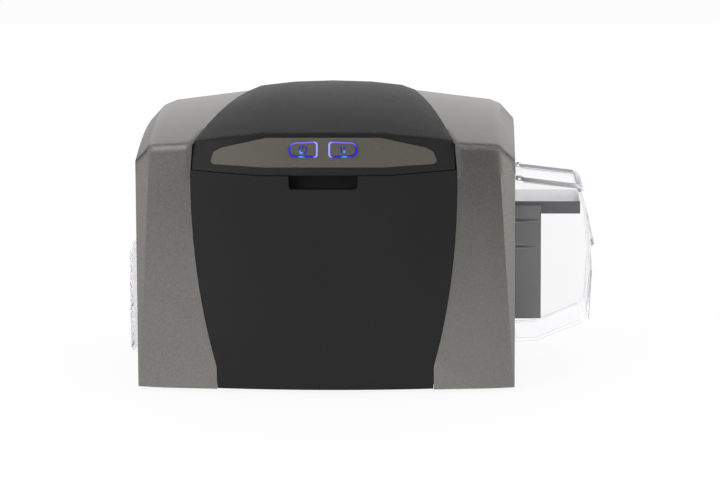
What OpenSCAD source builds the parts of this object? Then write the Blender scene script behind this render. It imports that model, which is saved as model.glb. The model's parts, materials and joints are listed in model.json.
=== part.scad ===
// Desktop ID card printer: a printing mechanism under two side covers and a top
// cover, with a drop-down front door, a clear card hopper on its right side and a
// clear output bin on its left.
// X runs across, Y from the front to the back and Z up from the table. The origin
// is on the table under the middle of the whole machine, hopper and bin included.

/* [Body] */
// Width over the two side covers
body_w = 277; // [272:1:285]
// Depth from the front of the door to the back of the covers
body_d = 201; // [198:1:212]
// Height of the top cover's crown
crown_h = 215; // [212:1:222]
// How far a side wall's top edge lies below the crown
side_fall = 29; // [25:1:31]
// How far the side walls fall from the crown to the front
front_drop = 15.5; // [13:0.5:18]
// How far behind the middle the crown lies
crown_y = 34; // [28:1:40]
// How far the top falls from the crown to the back
rear_drop = 18; // [14:1:20]
// Radius of the bowed front in plan
bow_r = 590; // [520:10:800]
// Wall of every cover
wall = 2.5; // [2.2:0.1:2.8]
// Gap between neighbouring covers
seam = 0.6; // [0.4:0.1:0.8]
// Height of the covers' lower edge above the table
skirt_z = 3; // [2.5:0.5:3.5]

/* [Edges of the body] */
// Width of the bevel down a front corner, at its top
facet_top_w = 12; // [9:0.5:14]
// Width of the same bevel at its bottom
facet_bottom_w = 1.2; // [1:0.1:3]
// Height of the bevel along the top of a side wall
shoulder_h = 10.8; // [9:0.2:12]
// Width of the bevel along each shoulder
shoulder_w = 10; // [8:0.5:12]
// How far the front tucks in below the kink
tuck_in = 3; // [2:0.5:4]
// Height of the kink across the front
kink_z = 20.4; // [18:0.5:24]
// How far the tuck runs outwards from the door
tuck_run = 38; // [30:1:44]

/* [Front door and top cover] */
// Half of the door's width at its top
door_top_half = 96.7; // [92:0.5:99]
// Half of the door's width at its foot
door_foot_half = 79.4; // [76:0.5:84]
// Height of the strip between the door's top edge and the control panel
fascia_h = 5.6; // [4:0.2:7]
// How much higher that edge is at its ends
lip_rise = 3.4; // [2:0.2:5]
// Half of the top cover's width at the crown
top_half = 65; // [60:1:70]
// Half of the width between the top cover's crests at the crown
crest_half = 54.4; // [50:1:56]
// Wall of the door
door_wall = 3; // [2.5:0.1:3.4]
// Width of the grip recess in the door
grip_w = 50; // [40:1:60]
// Height of the grip recess
grip_h = 10.4; // [9:0.1:14]
// Depth of the grip recess
grip_d = 13; // [10:1:16]

/* [Control panel] */
// How far the fascia leans back over its height
fascia_lean = 4; // [3:0.5:6]
// How far the panel's lower edge lies below the crown
panel_fall = 47; // [45:0.5:48]
// Height of the panel
panel_h = 21.5; // [20:0.5:22.5]
// Half of the panel's width
panel_half = 82; // [78:1:84]
// Thickness of the panel
panel_t = 2; // [1.6:0.1:2.4]
// Width of a button
button_w = 18.2; // [16:0.1:20]
// Height of a button
button_h = 9; // [8.4:0.1:11]
// Distance between the two buttons
button_gap = 10.5; // [8:0.1:12]
// Travel of a button
button_travel = 0.8; // [0.6:0.1:1]
// Width of the lit rim around a button
rim_w = 1.3; // [1:0.1:1.6]

/* [Card] */
// Length of a card
card_l = 85.6; // [85.6:0.1:86]
// Width of a card
card_w = 54; // [54:0.1:54.2]
// Thickness of a card
card_t = 0.76; // [0.7:0.01:0.84]
// Height at which cards pass through the machine
path_z = 133; // [131:0.5:134]

/* [Card hopper] */
// How far the hopper stands out from the side, with the grip on its door
hopper_out = 60.5; // [59:0.5:64]
// How far the finger grip stands out from the hopper's door
tab_out = 2; // [1.6:0.1:2.6]
// Height of the card stack that it holds
stack_h = 79; // [77:1:80]
// Thickness of the clear walls
clear_t = 2; // [1.6:0.1:2.4]
// Thickness of the card tray
tray_t = 9.4; // [8:0.1:11]

/* [Output bin] */
// How far the bin stands out from the side
bin_out = 11; // [9:0.5:13]
// Height of the bin's floor
bin_z = 17.5; // [17:0.5:20]
// Height of the joint between bin and flap
bin_joint_z = 48; // [44:1:54]
// Height of the flap's top
flap_top_z = 102.6; // [98:0.2:104]

/* [Transport] */
// Radius of the platen roller
platen_r = 9; // [8.5:0.1:9.2]
// Radius of the feed, exit and pick rollers
drive_r = 6; // [5.6:0.1:6.2]
// Radius of the pinch rollers
pinch_r = 5; // [4.5:0.1:5.2]
// Radius of every roller shaft
shaft_r = 2.5; // [2.3:0.1:2.7]
// Gear tooth module
gear_m = 1; // [1]
// Teeth on the platen gear
platen_teeth = 36; // [36]
// Teeth on the feed and exit gears
drive_teeth = 24; // [24]
// Teeth on the pick gear
pick_teeth = 32; // [32]
// Teeth on the motor pinion
pinion_teeth = 12; // [12]
// Width of a gear's face
gear_w = 5; // [4:0.5:6]
// Thickness of the frame plates
frame_t = 2; // [1.5:0.1:2.5]
// Distance from the exit roller to the platen
print_gap = 61; // [58:1:64]

/* [Ribbon cartridge] */
// Distance of each spool from the print line
spool_x = 35; // [34:0.5:38]
// Height of the spools above the card path
spool_up = 16; // [15.5:0.1:16.5]
// Radius of the full ribbon roll
ribbon_r = 10.5; // [9:0.5:10.5]
// Radius of a spool's core
core_r = 6.5; // [6:0.1:7]

/* [Hidden] */

// Clearances
turn_fit = 0.05;      // radial gap of a shaft in its bore
slide_gap = 0.4;      // gap beside a sliding piece
swing_gap = 0.5;      // gap beside a swinging piece
rear_gap = 0.35;      // gap between the rear panel and the covers round it
empty_gap = 0.4;      // gap over the top card when only one card is left

// Body. Every piece is drawn about the body's own middle, and placed() moves it to
// the place where the whole machine is centred on the origin.
body_x = (bin_out - hopper_out) / 2;
module placed() {
  translate([body_x, 0, 0]) children();
}
half_w = body_w / 2;
side_h = crown_h - side_fall;
panel_z = crown_h - panel_fall;
lip_z = panel_z - fascia_h;
front_y = -body_d / 2;
back_y = body_d / 2;
crease_y = front_y + 5.5;
bow_y = front_y + bow_r;
round_fn = 48;
bow_fn = 360;
far = 400;

// Height of the top above its lowest line, from 0 at the front to 1 at the crown
function rise(y) = y < crown_y
  ? 1 - pow((crown_y - y) / (crown_y - crease_y), 2)
  : 1 - rear_drop / body_fall * pow((y - crown_y) / (back_y - crown_y), 2);
// The front of the body at a distance x from the middle
function bow_at(x) = bow_y - sqrt(bow_r * bow_r - x * x);

// Outline of the side covers at a distance y from the middle, right half: the
// distances from the middle, the heights over side_h, and the shares of the drop
side_x = [half_w, half_w - shoulder_w, half_w - 17.5, top_half, 0];
side_up = [0, shoulder_h, shoulder_h + 3.2, shoulder_h + 10.1, shoulder_h + 13.7];
side_share = [1.49, 1.11, 1.25, 1.21, 1.5];
// How far the middle of the top rises from the front to the crown
body_fall = front_drop * side_share[4];
function side_z(i, y) = side_h + side_up[i] - front_drop * side_share[i] * (1 - rise(y));
function side_ring(y, inset, low) = let(
    across = [inset, 0.4 * inset, 0, 0, 0],
    down = [0.4, 1, 1, 1, 1] * inset,
    front_in = [0, 1.8, 1, 0, 0] * (1 - rise(y)),
    right = [for (i = [0:4]) [side_x[i] - across[i] - front_in[i], side_z(i, y) - down[i]]])
  concat([[half_w - inset, low]], right,
    [for (i = [3:-1:0]) [-right[i][0], right[i][1]]], [[inset - half_w, low]]);

// The seam between the top cover and a side cover, as a half width at y
seam_front_half = door_top_half - 2;
function seam_half(y) = y < crown_y
  ? top_half + (seam_front_half - top_half) * (crown_y - y) / (crown_y - crease_y)
  : top_half - 5 * (y - crown_y) / (back_y - crown_y);
function share(y) = min(1, max(0, rise(y)));
function crest_x(y) = y < crown_y
  ? crest_half + (80 - crest_half) * (1 - share(y))
  : crest_half - 5 * (y - crown_y) / (back_y - crown_y);
function crown_z(y) = crown_h - (body_fall - 1) * (1 - rise(y));
// Height of the side covers' surface at x, between their last three lines
function side_surface(x, y) = side_z(2, y)
  + (side_z(3, y) - side_z(2, y)) * (side_x[2] - x) / (side_x[2] - side_x[3]);
function top_ring(y, inset, low) = let(
    s = seam_half(y) + 1,
    c = crest_x(y),
    half = [[s - inset, side_surface(s, y) - inset],
      [c - 0.4 * inset, crown_z(y) - 3.3 - 2.6 * (1 - share(y)) - inset],
      [c * 0.56, crown_z(y) - 0.9 - inset]])
  concat([[s - inset, low]], half, [[0, crown_z(y) - inset]],
    [for (i = [2:-1:0]) [-half[i][0], half[i][1]]], [[inset - s, low]]);

// A closed solid through rings of points, each ring standing at its own y
module loft(places, rings) {
  n = len(places);
  m = len(rings[0]);
  polyhedron(
    points = [for (k = [0:n - 1], p = rings[k]) [p[0], places[k], p[1]]],
    faces = concat([[for (i = [m - 1:-1:0]) i]], [[for (i = [0:m - 1]) (n - 1) * m + i]],
      [for (k = [0:n - 2], i = [0:m - 1]) let(j = (i + 1) % m)
        [k * m + i, k * m + j, (k + 1) * m + j]],
      [for (k = [0:n - 2], i = [0:m - 1]) let(j = (i + 1) % m)
        [k * m + i, (k + 1) * m + j, (k + 1) * m + i]]));
}
loft_steps = 9;
function stations(y0, y1) = [for (k = [0:loft_steps]) y0 + (y1 - y0) * k / loft_steps];

// A flat plate standing across the machine, drawn as (x, z), from y to y + t
module upright(y, t) {
  translate([0, y + t, 0]) rotate([90, 0, 0]) linear_extrude(t) children();
}
// A round bar along Y
module bar(x, z, y0, y1, r) {
  translate([x, y0, z]) rotate([-90, 0, 0]) cylinder(h = y1 - y0, r = r, $fn = round_fn);
}
module both_sides() {
  children();
  mirror([1, 0, 0]) children();
}

// ---- Body form ----

// The front of the door and the fascia: one bow about a far axis, tucked in at its
// foot and leaning back and rounding over at its top
lean_z = lip_z + 2;
brow_r = 8;
deep = body_d + 39;
function bow_line(inset) = concat(
  [[bow_r - tuck_in - inset, -1], [bow_r - tuck_in - inset, skirt_z],
   [bow_r - inset, kink_z], [bow_r - inset, lean_z]],
  [for (a = [0:15:90]) [bow_r - fascia_lean - brow_r + (brow_r - inset) * cos(a),
    panel_z + panel_h - 1 + (brow_r - inset) * sin(a)]]);
module bow_sweep() {
  translate([0, bow_y, 0]) rotate([0, 0, -105])
    rotate_extrude(angle = 30, $fn = bow_fn) children();
}
module bow_solid(inset) {
  bow_sweep() polygon(concat([[bow_r - deep, -1]], bow_line(inset),
    [[bow_r - deep / 4, crown_h + 45], [bow_r - deep, crown_h + 45]]));
}
// A skin of the front between two depths under its surface
module fascia_skin(depth0, depth1) {
  inner = bow_line(depth1);
  bow_sweep() polygon(concat(bow_line(depth0), [for (i = [len(inner) - 1:-1:0]) inner[i]]));
}

// What lies outside the bevel down a front corner, moved in by inset
facet_slope = (facet_top_w - facet_bottom_w) / (side_h - front_drop);
bow_slope = half_w / bow_r;
facet_turn = atan(facet_slope * (1 - bow_slope) / sqrt(2));
module corner_facet(inset) {
  x = half_w - facet_bottom_w;
  translate([x, bow_at(x), 10]) rotate([0, -facet_turn, -45])
    translate([-inset, -100, -100]) cube([100, 200, 400]);
}
// What lies in front of the tuck at the foot of a side cover, moved in by inset
tuck_start = [door_foot_half, bow_at(door_foot_half), kink_z];
tuck_end = [door_foot_half + tuck_run, bow_at(door_foot_half + tuck_run), skirt_z + 1];
tuck_low = [door_foot_half, bow_at(door_foot_half) + tuck_in, skirt_z];
tuck_normal = cross(tuck_low - tuck_start, tuck_end - tuck_start);
tuck_pitch = asin(tuck_normal[2] / norm(tuck_normal));
tuck_yaw = atan(-tuck_normal[0] / tuck_normal[1]);
module foot_tuck(inset) {
  translate(tuck_start) rotate([abs(tuck_pitch), 0, abs(tuck_yaw)])
    translate([-100, -50, -100]) cube([300, 50 + inset, 300]);
}

module side_form(inset, low, y1) {
  places = stations(front_y - 1, y1);
  difference() {
    loft(places, [for (y = places) side_ring(y, inset, low)]);
    difference() {
      translate([-far, front_y - 20, -20]) cube([2 * far, 60, far]);
      translate([0, bow_y, -30]) cylinder(h = far, r = bow_r - inset, $fn = bow_fn);
    }
    both_sides() {
      corner_facet(inset);
      foot_tuck(inset);
    }
  }
}

// Half width of the opening in the front at height z
function front_half(z) = z < kink_z ? door_foot_half
  : door_top_half - (door_top_half - door_foot_half)
    * pow(max(0, lip_z - 2 - z) / (lip_z - 2 - kink_z), 2.2);
front_levels = concat([-5], [for (k = [0:12]) kink_z + (lip_z - kink_z) * k / 12]);
// Outline of that opening, made narrower by gap on each side, up to height z1
module front_outline(gap, z1) {
  right = concat([for (z = front_levels) [front_half(z) - gap, z]],
    [[seam_front_half - gap, side_h], [seam_front_half - gap, z1]]);
  polygon(concat(right, [for (i = [len(right) - 1:-1:0]) [-right[i][0], right[i][1]]]));
}
module top_outline(gap) {
  half = [[door_top_half - gap, front_y - 10], [seam_half(crease_y) - gap, crease_y],
    [seam_half(crown_y) - gap, crown_y], [seam_half(back_y) - gap, back_y + 1]];
  polygon(concat(half, [for (i = [3:-1:0]) [-half[i][0], half[i][1]]]));
}
front_zone = 45;
top_prism_z = lip_z + lip_rise + 4;
module centre_zone(gap) {
  upright(front_y - 10, 10 + front_zone) front_outline(gap, side_h - front_drop + 14);
  translate([0, 0, top_prism_z]) linear_extrude(80) top_outline(gap);
}

// ---- Card hopper and output bin places ----

card_y = 3;
hopper_x = half_w + hopper_out - tab_out;
stack_x1 = hopper_x - 9.4;
stack_x0 = stack_x1 - card_l - 1.2;
guide_y0 = card_y - card_w / 2 - 2.5;
guide_y1 = card_y + card_w / 2 + 2;
guide_t = 3;
shell_y0 = guide_y0 - guide_t - clear_t - 0.3;
shell_y1 = guide_y1 + guide_t + clear_t + 0.3;
tray_top = path_z - card_t - empty_gap;
tray_low = tray_top - tray_t;
stack_low = tray_low - stack_h;
lid_z = path_z + 15.2;
lid_t = 3.2;
lid_fall = 5.5;
bin_x0 = -half_w - bin_out;
bin_x1 = bin_x0 + card_l + 3;
shell_foot_z = stack_low - 17.2;
shell_kink = [half_w + 17.2, shell_foot_z + 0.9];

hopper_hole_z0 = shell_foot_z + 2;
hopper_hole_z1 = lid_z - 2;
bin_hole_z1 = flap_top_z - 1;

module hopper_hole() {
  translate([half_w - 20, shell_y0 + clear_t, hopper_hole_z0])
    cube([40, shell_y1 - shell_y0 - 2 * clear_t, hopper_hole_z1 - hopper_hole_z0]);
}
module bin_hole() {
  translate([-half_w - 20, shell_y0 - 0.3, bin_z - 0.3])
    cube([40, shell_y1 - shell_y0 + 0.6, bin_hole_z1 - bin_z]);
}

// ---- Covers ----

cover_y1 = back_y;
module side_cover() {
  difference() {
    side_form(0, skirt_z, cover_y1);
    side_form(wall, -1, cover_y1 + 1);
    centre_zone(0);
    translate([-far, front_y - 20, -10]) cube([far, far, far]);
    hopper_hole();
  }
  cover_tabs();
}
// Tabs that sit on the base pan and take a screw each
tab_y = [-62, 10, 80];
tab_w = 12;
screw_r = 1.5;
base_top = 7;
module cover_tabs() {
  for (y = tab_y) translate([half_w - wall - tab_w, y - tab_w / 2, base_top]) difference() {
    cube([tab_w + wall / 2, tab_w, wall]);
    translate([tab_w / 2, tab_w / 2, -1]) cylinder(h = wall + 2, r = screw_r, $fn = 24);
  }
}

module right_cover() placed() {
  color("silver") side_cover();
}
module left_cover() placed() {
  color("silver") difference() {
    mirror([1, 0, 0]) difference() {
      side_form(0, skirt_z, cover_y1);
      side_form(wall, -1, cover_y1 + 1);
      centre_zone(0);
      translate([-far, front_y - 20, -10]) cube([far, far, far]);
    }
    bin_hole();
  }
  color("silver") mirror([1, 0, 0]) cover_tabs();
}

// The top cover's outside or, with inset, its inside
module top_form(inset, y1) {
  places = stations(front_y - 1, y1);
  intersection() {
    loft(places, [for (y = places) top_ring(y, inset, 120)]);
    bow_solid(inset);
  }
}
// The door's top edge: level in the middle and rising to its ends
lip_flat = 48;
module above_lip(gap) {
  z = lip_z - gap;
  polygon([[-half_w, z + lip_rise], [-door_top_half, z + lip_rise], [-lip_flat, z], [lip_flat, z],
    [door_top_half, z + lip_rise], [half_w, z + lip_rise], [half_w, far], [-half_w, far]]);
}
module top_cover() placed() {
  color("dimgray") difference() {
    intersection() {
      difference() {
        top_form(0, cover_y1);
        top_form(wall, cover_y1 + 1);
      }
      centre_zone(seam / 2);
      upright(front_y - 10, far) above_lip(0);
    }
    on_panel() translate([0, 0, -8]) linear_extrude(16) panel_outline(0.2);
  }
  color("dimgray") intersection() {
    top_form(wall / 2, cover_y1);
    for (x = [take_up_x - 6, head_pivot[0]], y = [frame_y0, frame_y1]) translate([x, y, frame_top])
      translate([0, frame_t / 2, 0]) cylinder(h = 60, r = 2.6, $fn = 24);
  }
}

// ---- Control panel ----

panel_tilt = atan(fascia_lean / (panel_z + panel_h - 1 - lean_z));
panel_mid_z = panel_z + panel_h / 2;
panel_mid_y = front_y + (panel_mid_z - lean_z) * tan(panel_tilt);
// Puts children on the leaning fascia: X across, Y up it and Z out of it
module on_panel() {
  translate([0, panel_mid_y, panel_mid_z]) rotate([90 - panel_tilt, 0, 0]) children();
}
module panel_outline(gap) {
  h = panel_h / 2;
  right = [[panel_half * 0.53, -h], [panel_half - 2, -h + 2.6], [panel_half, -h + 5],
    [panel_half - 2.5, -h + 11.5], [panel_half - 8, -h + 14.5], [panel_half * 0.5, h]];
  outline = concat(right, [for (i = [5:-1:0]) [-right[i][0], right[i][1]]]);
  offset_outline(outline, gap);
}
// A polygon with its points moved out from the middle by gap
module offset_outline(points, gap) {
  polygon([for (p = points) [p[0] + gap * sign(p[0]), p[1] + gap * sign(p[1])]]);
}
button_x = button_gap / 2 + button_w / 2;
button_up = 2.1;
button_round = 3.5;
// One button's outline: square towards the middle, round on its outer side
module button_outline(grow) {
  w = button_w / 2;
  h = button_h / 2;
  r = 1 + grow;
  big = button_round + grow;
  x = w - button_round;
  low = button_round + 0.4 - h;
  high = h - button_round - 0.6;
  polygon(concat(
    [for (a = [180:22.5:270]) [1 - w + r * cos(a), 1 - h + r * sin(a)]],
    [for (a = [270:15:360]) [x + big * cos(a), low + big * sin(a)]],
    [for (a = [0:15:90]) [x + big * cos(a), high + big * sin(a)]],
    [for (a = [90:22.5:180]) [1 - w + r * cos(a), h - 1 + r * sin(a)]]));
}
module at_button(side) {
  on_panel() translate([side * button_x, button_up, 0])
    mirror([side < 0 ? 1 : 0, 0, 0]) children();
}
module control_panel() placed() {
  color("tan") difference() {
    union() {
      intersection() {
        fascia_skin(0.4, wall);
        on_panel() translate([0, 0, -10]) linear_extrude(20) panel_outline(0);
      }
      intersection() {
        fascia_skin(wall, wall + panel_t);
        on_panel() translate([0, 0, -10]) linear_extrude(20) panel_outline(1.4);
      }
    }
    for (side = [-1, 1]) at_button(side)
      translate([0, 0, -10]) linear_extrude(20) button_outline(rim_w + 0.15);
  }
  color("tan") on_panel() for (x = [-36, 36]) translate([x, 0.5, board_top])
    cylinder(h = -board_top - wall, r = 2.2, $fn = 24);
}
flange_low = -wall - panel_t - 2.3;
module light_guides() placed() {
  color("blue") for (side = [-1, 1]) at_button(side) difference() {
    union() {
      translate([0, 0, flange_low]) linear_extrude(0.2 - flange_low) button_outline(rim_w);
      translate([0, 0, flange_low]) linear_extrude(1.4) button_outline(rim_w + 1.5);
    }
    translate([0, 0, -10]) linear_extrude(20) button_outline(0.3);
  }
}
button_out = 1.1;
module push_button(side) {
  at_button(side) {
    translate([0, 0, -5]) linear_extrude(5 + button_out) button_outline(0);
    translate([0, 0, stem_z]) cylinder(h = 1.7, r = 2, $fn = 24);
  }
}
module power_button() placed() {
  color("tan") push_button(-1);
}
module pause_button() placed() {
  color("tan") push_button(1);
}
board_t = 1.6;
switch_board_w = 84;
switch_board_h = 17;
stem_z = -6.6;
switch_h = 1.3;
board_top = stem_z - button_travel - 0.2 - switch_h;
module control_board() placed() {
  color("green") on_panel() {
    translate([-switch_board_w / 2, button_up - switch_board_h / 2 - 1, board_top - board_t])
      cube([switch_board_w, switch_board_h, board_t]);
    for (side = [-1, 1]) translate([side * button_x, button_up, board_top - 0.1])
      cylinder(h = switch_h + 0.1, r = 2, $fn = 24);
  }
}

// ---- Base, feet and rear ----

base_z = 4;
base_front_y = front_y + 21;
module base_pan() placed() {
  w = 2 * (half_w - wall);
  color("dimgray") difference() {
    union() {
      translate([-w / 2, base_front_y, base_z])
        cube([w, back_y - wall - base_front_y, base_top - base_z]);
      for (x = [-hinge_x, hinge_x]) door_lug(x);
    }
    for (x = [-1, 1], y = tab_y) translate([x * (half_w - wall - tab_w / 2), y, 0])
      cylinder(h = 20, r = screw_r, $fn = 24);
  }
}
feet_x = 112;
feet_y = [-62, 78];
module feet() placed() {
  color("black") for (x = [-feet_x, feet_x], y = feet_y) translate([x, y, 0])
    cylinder(h = base_z, r = 9, $fn = round_fn);
}
vent_w = 2.4;
// Openings of the guard over the fan: rings broken by four spokes
guard_hub_r = 5.5;
guard_rings = 3;
guard_bar = 1.6;
module fan_slots() {
  pitch = (fan_r + 0.5 - guard_hub_r) / guard_rings;
  difference() {
    for (k = [0:guard_rings - 1]) difference() {
      circle(r = guard_hub_r + (k + 1) * pitch, $fn = round_fn);
      circle(r = guard_hub_r + k * pitch + guard_bar, $fn = round_fn);
    }
    for (a = [45, 135]) rotate(a) square([2 * fan_r + 4, 2.2], center = true);
  }
}
module rear_panel() placed() {
  y = back_y - wall;
  edge = seam_half(back_y) + 0.2;
  inset = wall + rear_gap;
  seam_z = side_surface(edge, back_y) - inset;
  right = [for (p = side_ring(back_y, inset, base_top)) if (p[0] > edge) p];
  top = [for (p = top_ring(back_y, inset, 0)) if (p[1] > 100) p];
  flange_z = top_prism_z - 1;
  color("dimgray") difference() {
    upright(y, wall - 0.5) polygon(concat(right,
      [[edge, seam_z], [edge, flange_z], [top[0][0], flange_z]],
      top, [[-top[0][0], flange_z], [-edge, flange_z], [-edge, seam_z]],
      [for (i = [len(right) - 1:-1:0]) [-right[i][0], right[i][1]]]));
    for (i = [0:13]) translate([-52 + i * 8, y - 1, 120]) cube([vent_w, 10, 40]);
    upright(y - 1, 10) translate([fan_x, fan_z]) fan_slots();
    translate([inlet_x - 6, y - 1, port_z]) cube([12, 10, 12]);
    translate([usb_x - 6.5, y - 1, port_z]) cube([13, 10, 12]);
  }
}
port_z = 20;
inlet_x = 60;
usb_x = 30;
board_y = back_y - wall - 8;
module main_board() placed() {
  color("green") upright(board_y - board_t, board_t) difference() {
    translate([-20, base_top]) square([112, 70]);
    translate([-16, 72]) circle(r = 1.6, $fn = 24);
    translate([88, 72]) circle(r = 1.6, $fn = 24);
  }
  color("black") {
    upright(board_y - board_t - 2, 2) translate([-4, 40]) square([16, 16]);
    upright(board_y - board_t - 3, 3) translate([30, 44]) square([12, 12]);
    for (x = [52, 66]) bar(x, 62, board_y - board_t - 12, board_y - board_t, 4);
  }
}
module power_inlet() placed() {
  color("black") {
    difference() {
      translate([inlet_x - 5.5, board_y, port_z + 0.5]) cube([11, back_y - board_y - 0.6, 11]);
      bar(inlet_x, port_z + 6, board_y + 2, back_y + 1, 3.2);
    }
    bar(inlet_x, port_z + 6, board_y + 1.5, back_y - 2, 1);
  }
}
module usb_port() placed() {
  color("silver") difference() {
    translate([usb_x - 6, board_y, port_z + 0.5]) cube([12, back_y - board_y - 0.6, 11]);
    translate([usb_x - 4.3, board_y + 2, port_z + 2]) cube([8.6, 20, 8]);
  }
}
fan_x = -75;
fan_z = 60;
fan_r = 18;
fan_side = 40;
fan_t = 10;
fan_y = back_y - wall - fan_t;
module fan_housing() placed() {
  color("black") {
    difference() {
      translate([fan_x - fan_side / 2, fan_y, fan_z - fan_side / 2])
        cube([fan_side, fan_t, fan_side]);
      bar(fan_x, fan_z, fan_y - 1, fan_y + fan_t + 1, fan_r);
    }
    bar(fan_x, fan_z, fan_y, fan_y + 1.5, 6);
    for (a = [45:90:315]) translate([fan_x, fan_y, fan_z]) rotate([0, a, 0])
      translate([5, 0, -1]) cube([fan_r - 4, 1.5, 2]);
    translate([fan_x - 5, fan_y - 1.5, base_top]) cube([10, 1.5, fan_z - 14 - base_top]);
  }
}
module fan_rotor() placed() {
  color("dimgray") {
    bar(fan_x, fan_z, fan_y + 2, fan_y + fan_t - 1, 7);
    for (k = [0:6]) translate([fan_x, fan_y + 5.5, fan_z]) rotate([0, k * 360 / 7, 0])
      translate([6.5, 0, 0]) rotate([35, 0, 0]) translate([0, -0.6, -3.5])
        cube([fan_r - 8, 1.2, 7]);
  }
}
module cover_screws() placed() {
  color("silver") for (x = [-1, 1], y = tab_y)
    translate([x * (half_w - wall - tab_w / 2), y, base_z]) {
      cylinder(h = base_top - base_z + wall, r = screw_r, $fn = 24);
      translate([0, 0, base_top - base_z + wall]) cylinder(h = 1.8, r = 2.8, $fn = 24);
    }
}

// ---- Front door ----

hinge_z = 12;
hinge_y = front_y + 10.5;
ear_r = 2.8;
hinge_x = 58;
lug_w = 6;
pin_r = 1.5;
module door_lug(x) {
  difference() {
    union() {
      bar_x(hinge_y, hinge_z, x - lug_w / 2, x + lug_w / 2, ear_r);
      translate([x - lug_w / 2, hinge_y, hinge_z - 1])
        cube([lug_w, base_front_y - hinge_y + 3, 3]);
      translate([x - lug_w / 2, base_front_y, base_top])
        cube([lug_w, 3, hinge_z + 2 - base_top]);
    }
    bar_x(hinge_y, hinge_z, x - lug_w, x + lug_w, pin_r + turn_fit);
  }
}
// A round bar along X, at y and z
module bar_x(y, z, x0, x1, r) {
  translate([x0, y, z]) rotate([0, 90, 0]) cylinder(h = x1 - x0, r = r, $fn = round_fn);
}
module door_ears() {
  for (x = [-hinge_x, hinge_x], side = [-1, 1]) {
    x0 = x + side * (lug_w / 2 + swing_gap + 1.5);
    y0 = bow_at(x0) + door_wall - 0.6;
    difference() {
      union() {
        bar_x(hinge_y, hinge_z, x0 - 1.5, x0 + 1.5, ear_r);
        translate([x0 - 1.5, y0, hinge_z - ear_r]) cube([3, hinge_y - y0, 2 * ear_r]);
      }
      bar_x(hinge_y, hinge_z, x0 - 3, x0 + 3, pin_r);
    }
  }
}
grip_z = lip_z - grip_h;
grip_corner = 2.6;
grip_t = 2;
// The grip recess as seen from the front, made larger by grow, up to height z1
module grip_outline(grow, z1) {
  w = grip_w / 2 + grow;
  r = grip_corner + grow;
  z = grip_z - grow + r;
  polygon(concat([for (a = [180:15:270]) [r - w + r * cos(a), z + r * sin(a)]],
    [for (a = [270:15:360]) [w - r + r * cos(a), z + r * sin(a)]], [[w, z1], [-w, z1]]));
}
door_rib_x = [-70, -36, 36, 70];
door_low = skirt_z + 0.6;
// The bow of the front from low to high, tapered in below the kink
module door_bow(inset, low, high) {
  r = bow_r - inset;
  translate([0, bow_y, kink_z]) cylinder(h = high - kink_z, r = r, $fn = bow_fn);
  translate([0, bow_y, low]) cylinder(h = kink_z - low,
    r1 = r - tuck_in * (kink_z - low) / (kink_z - skirt_z), r2 = r, $fn = bow_fn);
}
module front_door() placed() {
  color("dimgray") difference() {
    union() {
      intersection() {
        difference() {
          door_bow(0, door_low, side_h);
          door_bow(door_wall, door_low - 1, side_h + 1);
        }
        upright(front_y - 10, 60) front_outline(seam / 2, lip_z + lip_rise);
      }
      for (x = door_rib_x) translate([x - 1, bow_at(x) + door_wall - 0.5, kink_z + 6])
        cube([2, 3.5, lip_z - kink_z - 16]);
      door_ears();
    }
    upright(front_y - 5, grip_d) grip_outline(0, side_h);
    upright(front_y - 10, far) above_lip(seam);
  }
}
// The recess's own cup, seated on the back of the door's skin
module door_grip() placed() {
  color("black") intersection() {
    difference() {
      upright(front_y, grip_d + grip_t) grip_outline(grip_t, lip_z - seam);
      upright(front_y - 1, grip_d + 1) grip_outline(0, side_h);
    }
    door_bow(door_wall, door_low, side_h);
  }
}
module door_pins() placed() {
  color("silver") for (x = [-hinge_x, hinge_x])
    bar_x(hinge_y, hinge_z, x - lug_w / 2 - 5, x + lug_w / 2 + 5, pin_r);
}

// ---- Frame plates ----

frame_y0 = guide_y0 - guide_t - 3.5;
frame_y1 = guide_y1 + guide_t + 1.5;
frame_x0 = bin_x1 + 1;
frame_x1 = stack_x0 - 1.5;
frame_top = path_z + 47;
frame_low_top = path_z + 34;
arm_x1 = half_w - wall - 2;
exit_x = bin_x1 + 10;
print_x = exit_x + print_gap;
feed_x = stack_x0 - 9.5;
roller_z = path_z - drive_r;
platen_z = path_z - platen_r;
pinch_z = path_z + card_t + pinch_r + 0.2;
pick_r = 8;
pick_z = path_z + card_t + pick_r + 0.2;
feed_pick = gear_m * (drive_teeth + pick_teeth) / 2;
pick_x = feed_x + sqrt(pow(feed_pick, 2) - pow(pick_z - roller_z, 2));
bush_r = 4;
spool_z = path_z + spool_up;
supply_x = print_x + spool_x;
take_up_x = print_x - spool_x;
bay_x0 = take_up_x - 24;
bay_x1 = supply_x + 28;
bay_z1 = path_z + 29.5;
head_pivot = [print_x + 34, path_z + 39];

shaft_places = [[exit_x, roller_z], [print_x, platen_z], [feed_x, roller_z],
  [exit_x, pinch_z], [feed_x, pinch_z], [pick_x, pick_z]];

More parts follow.
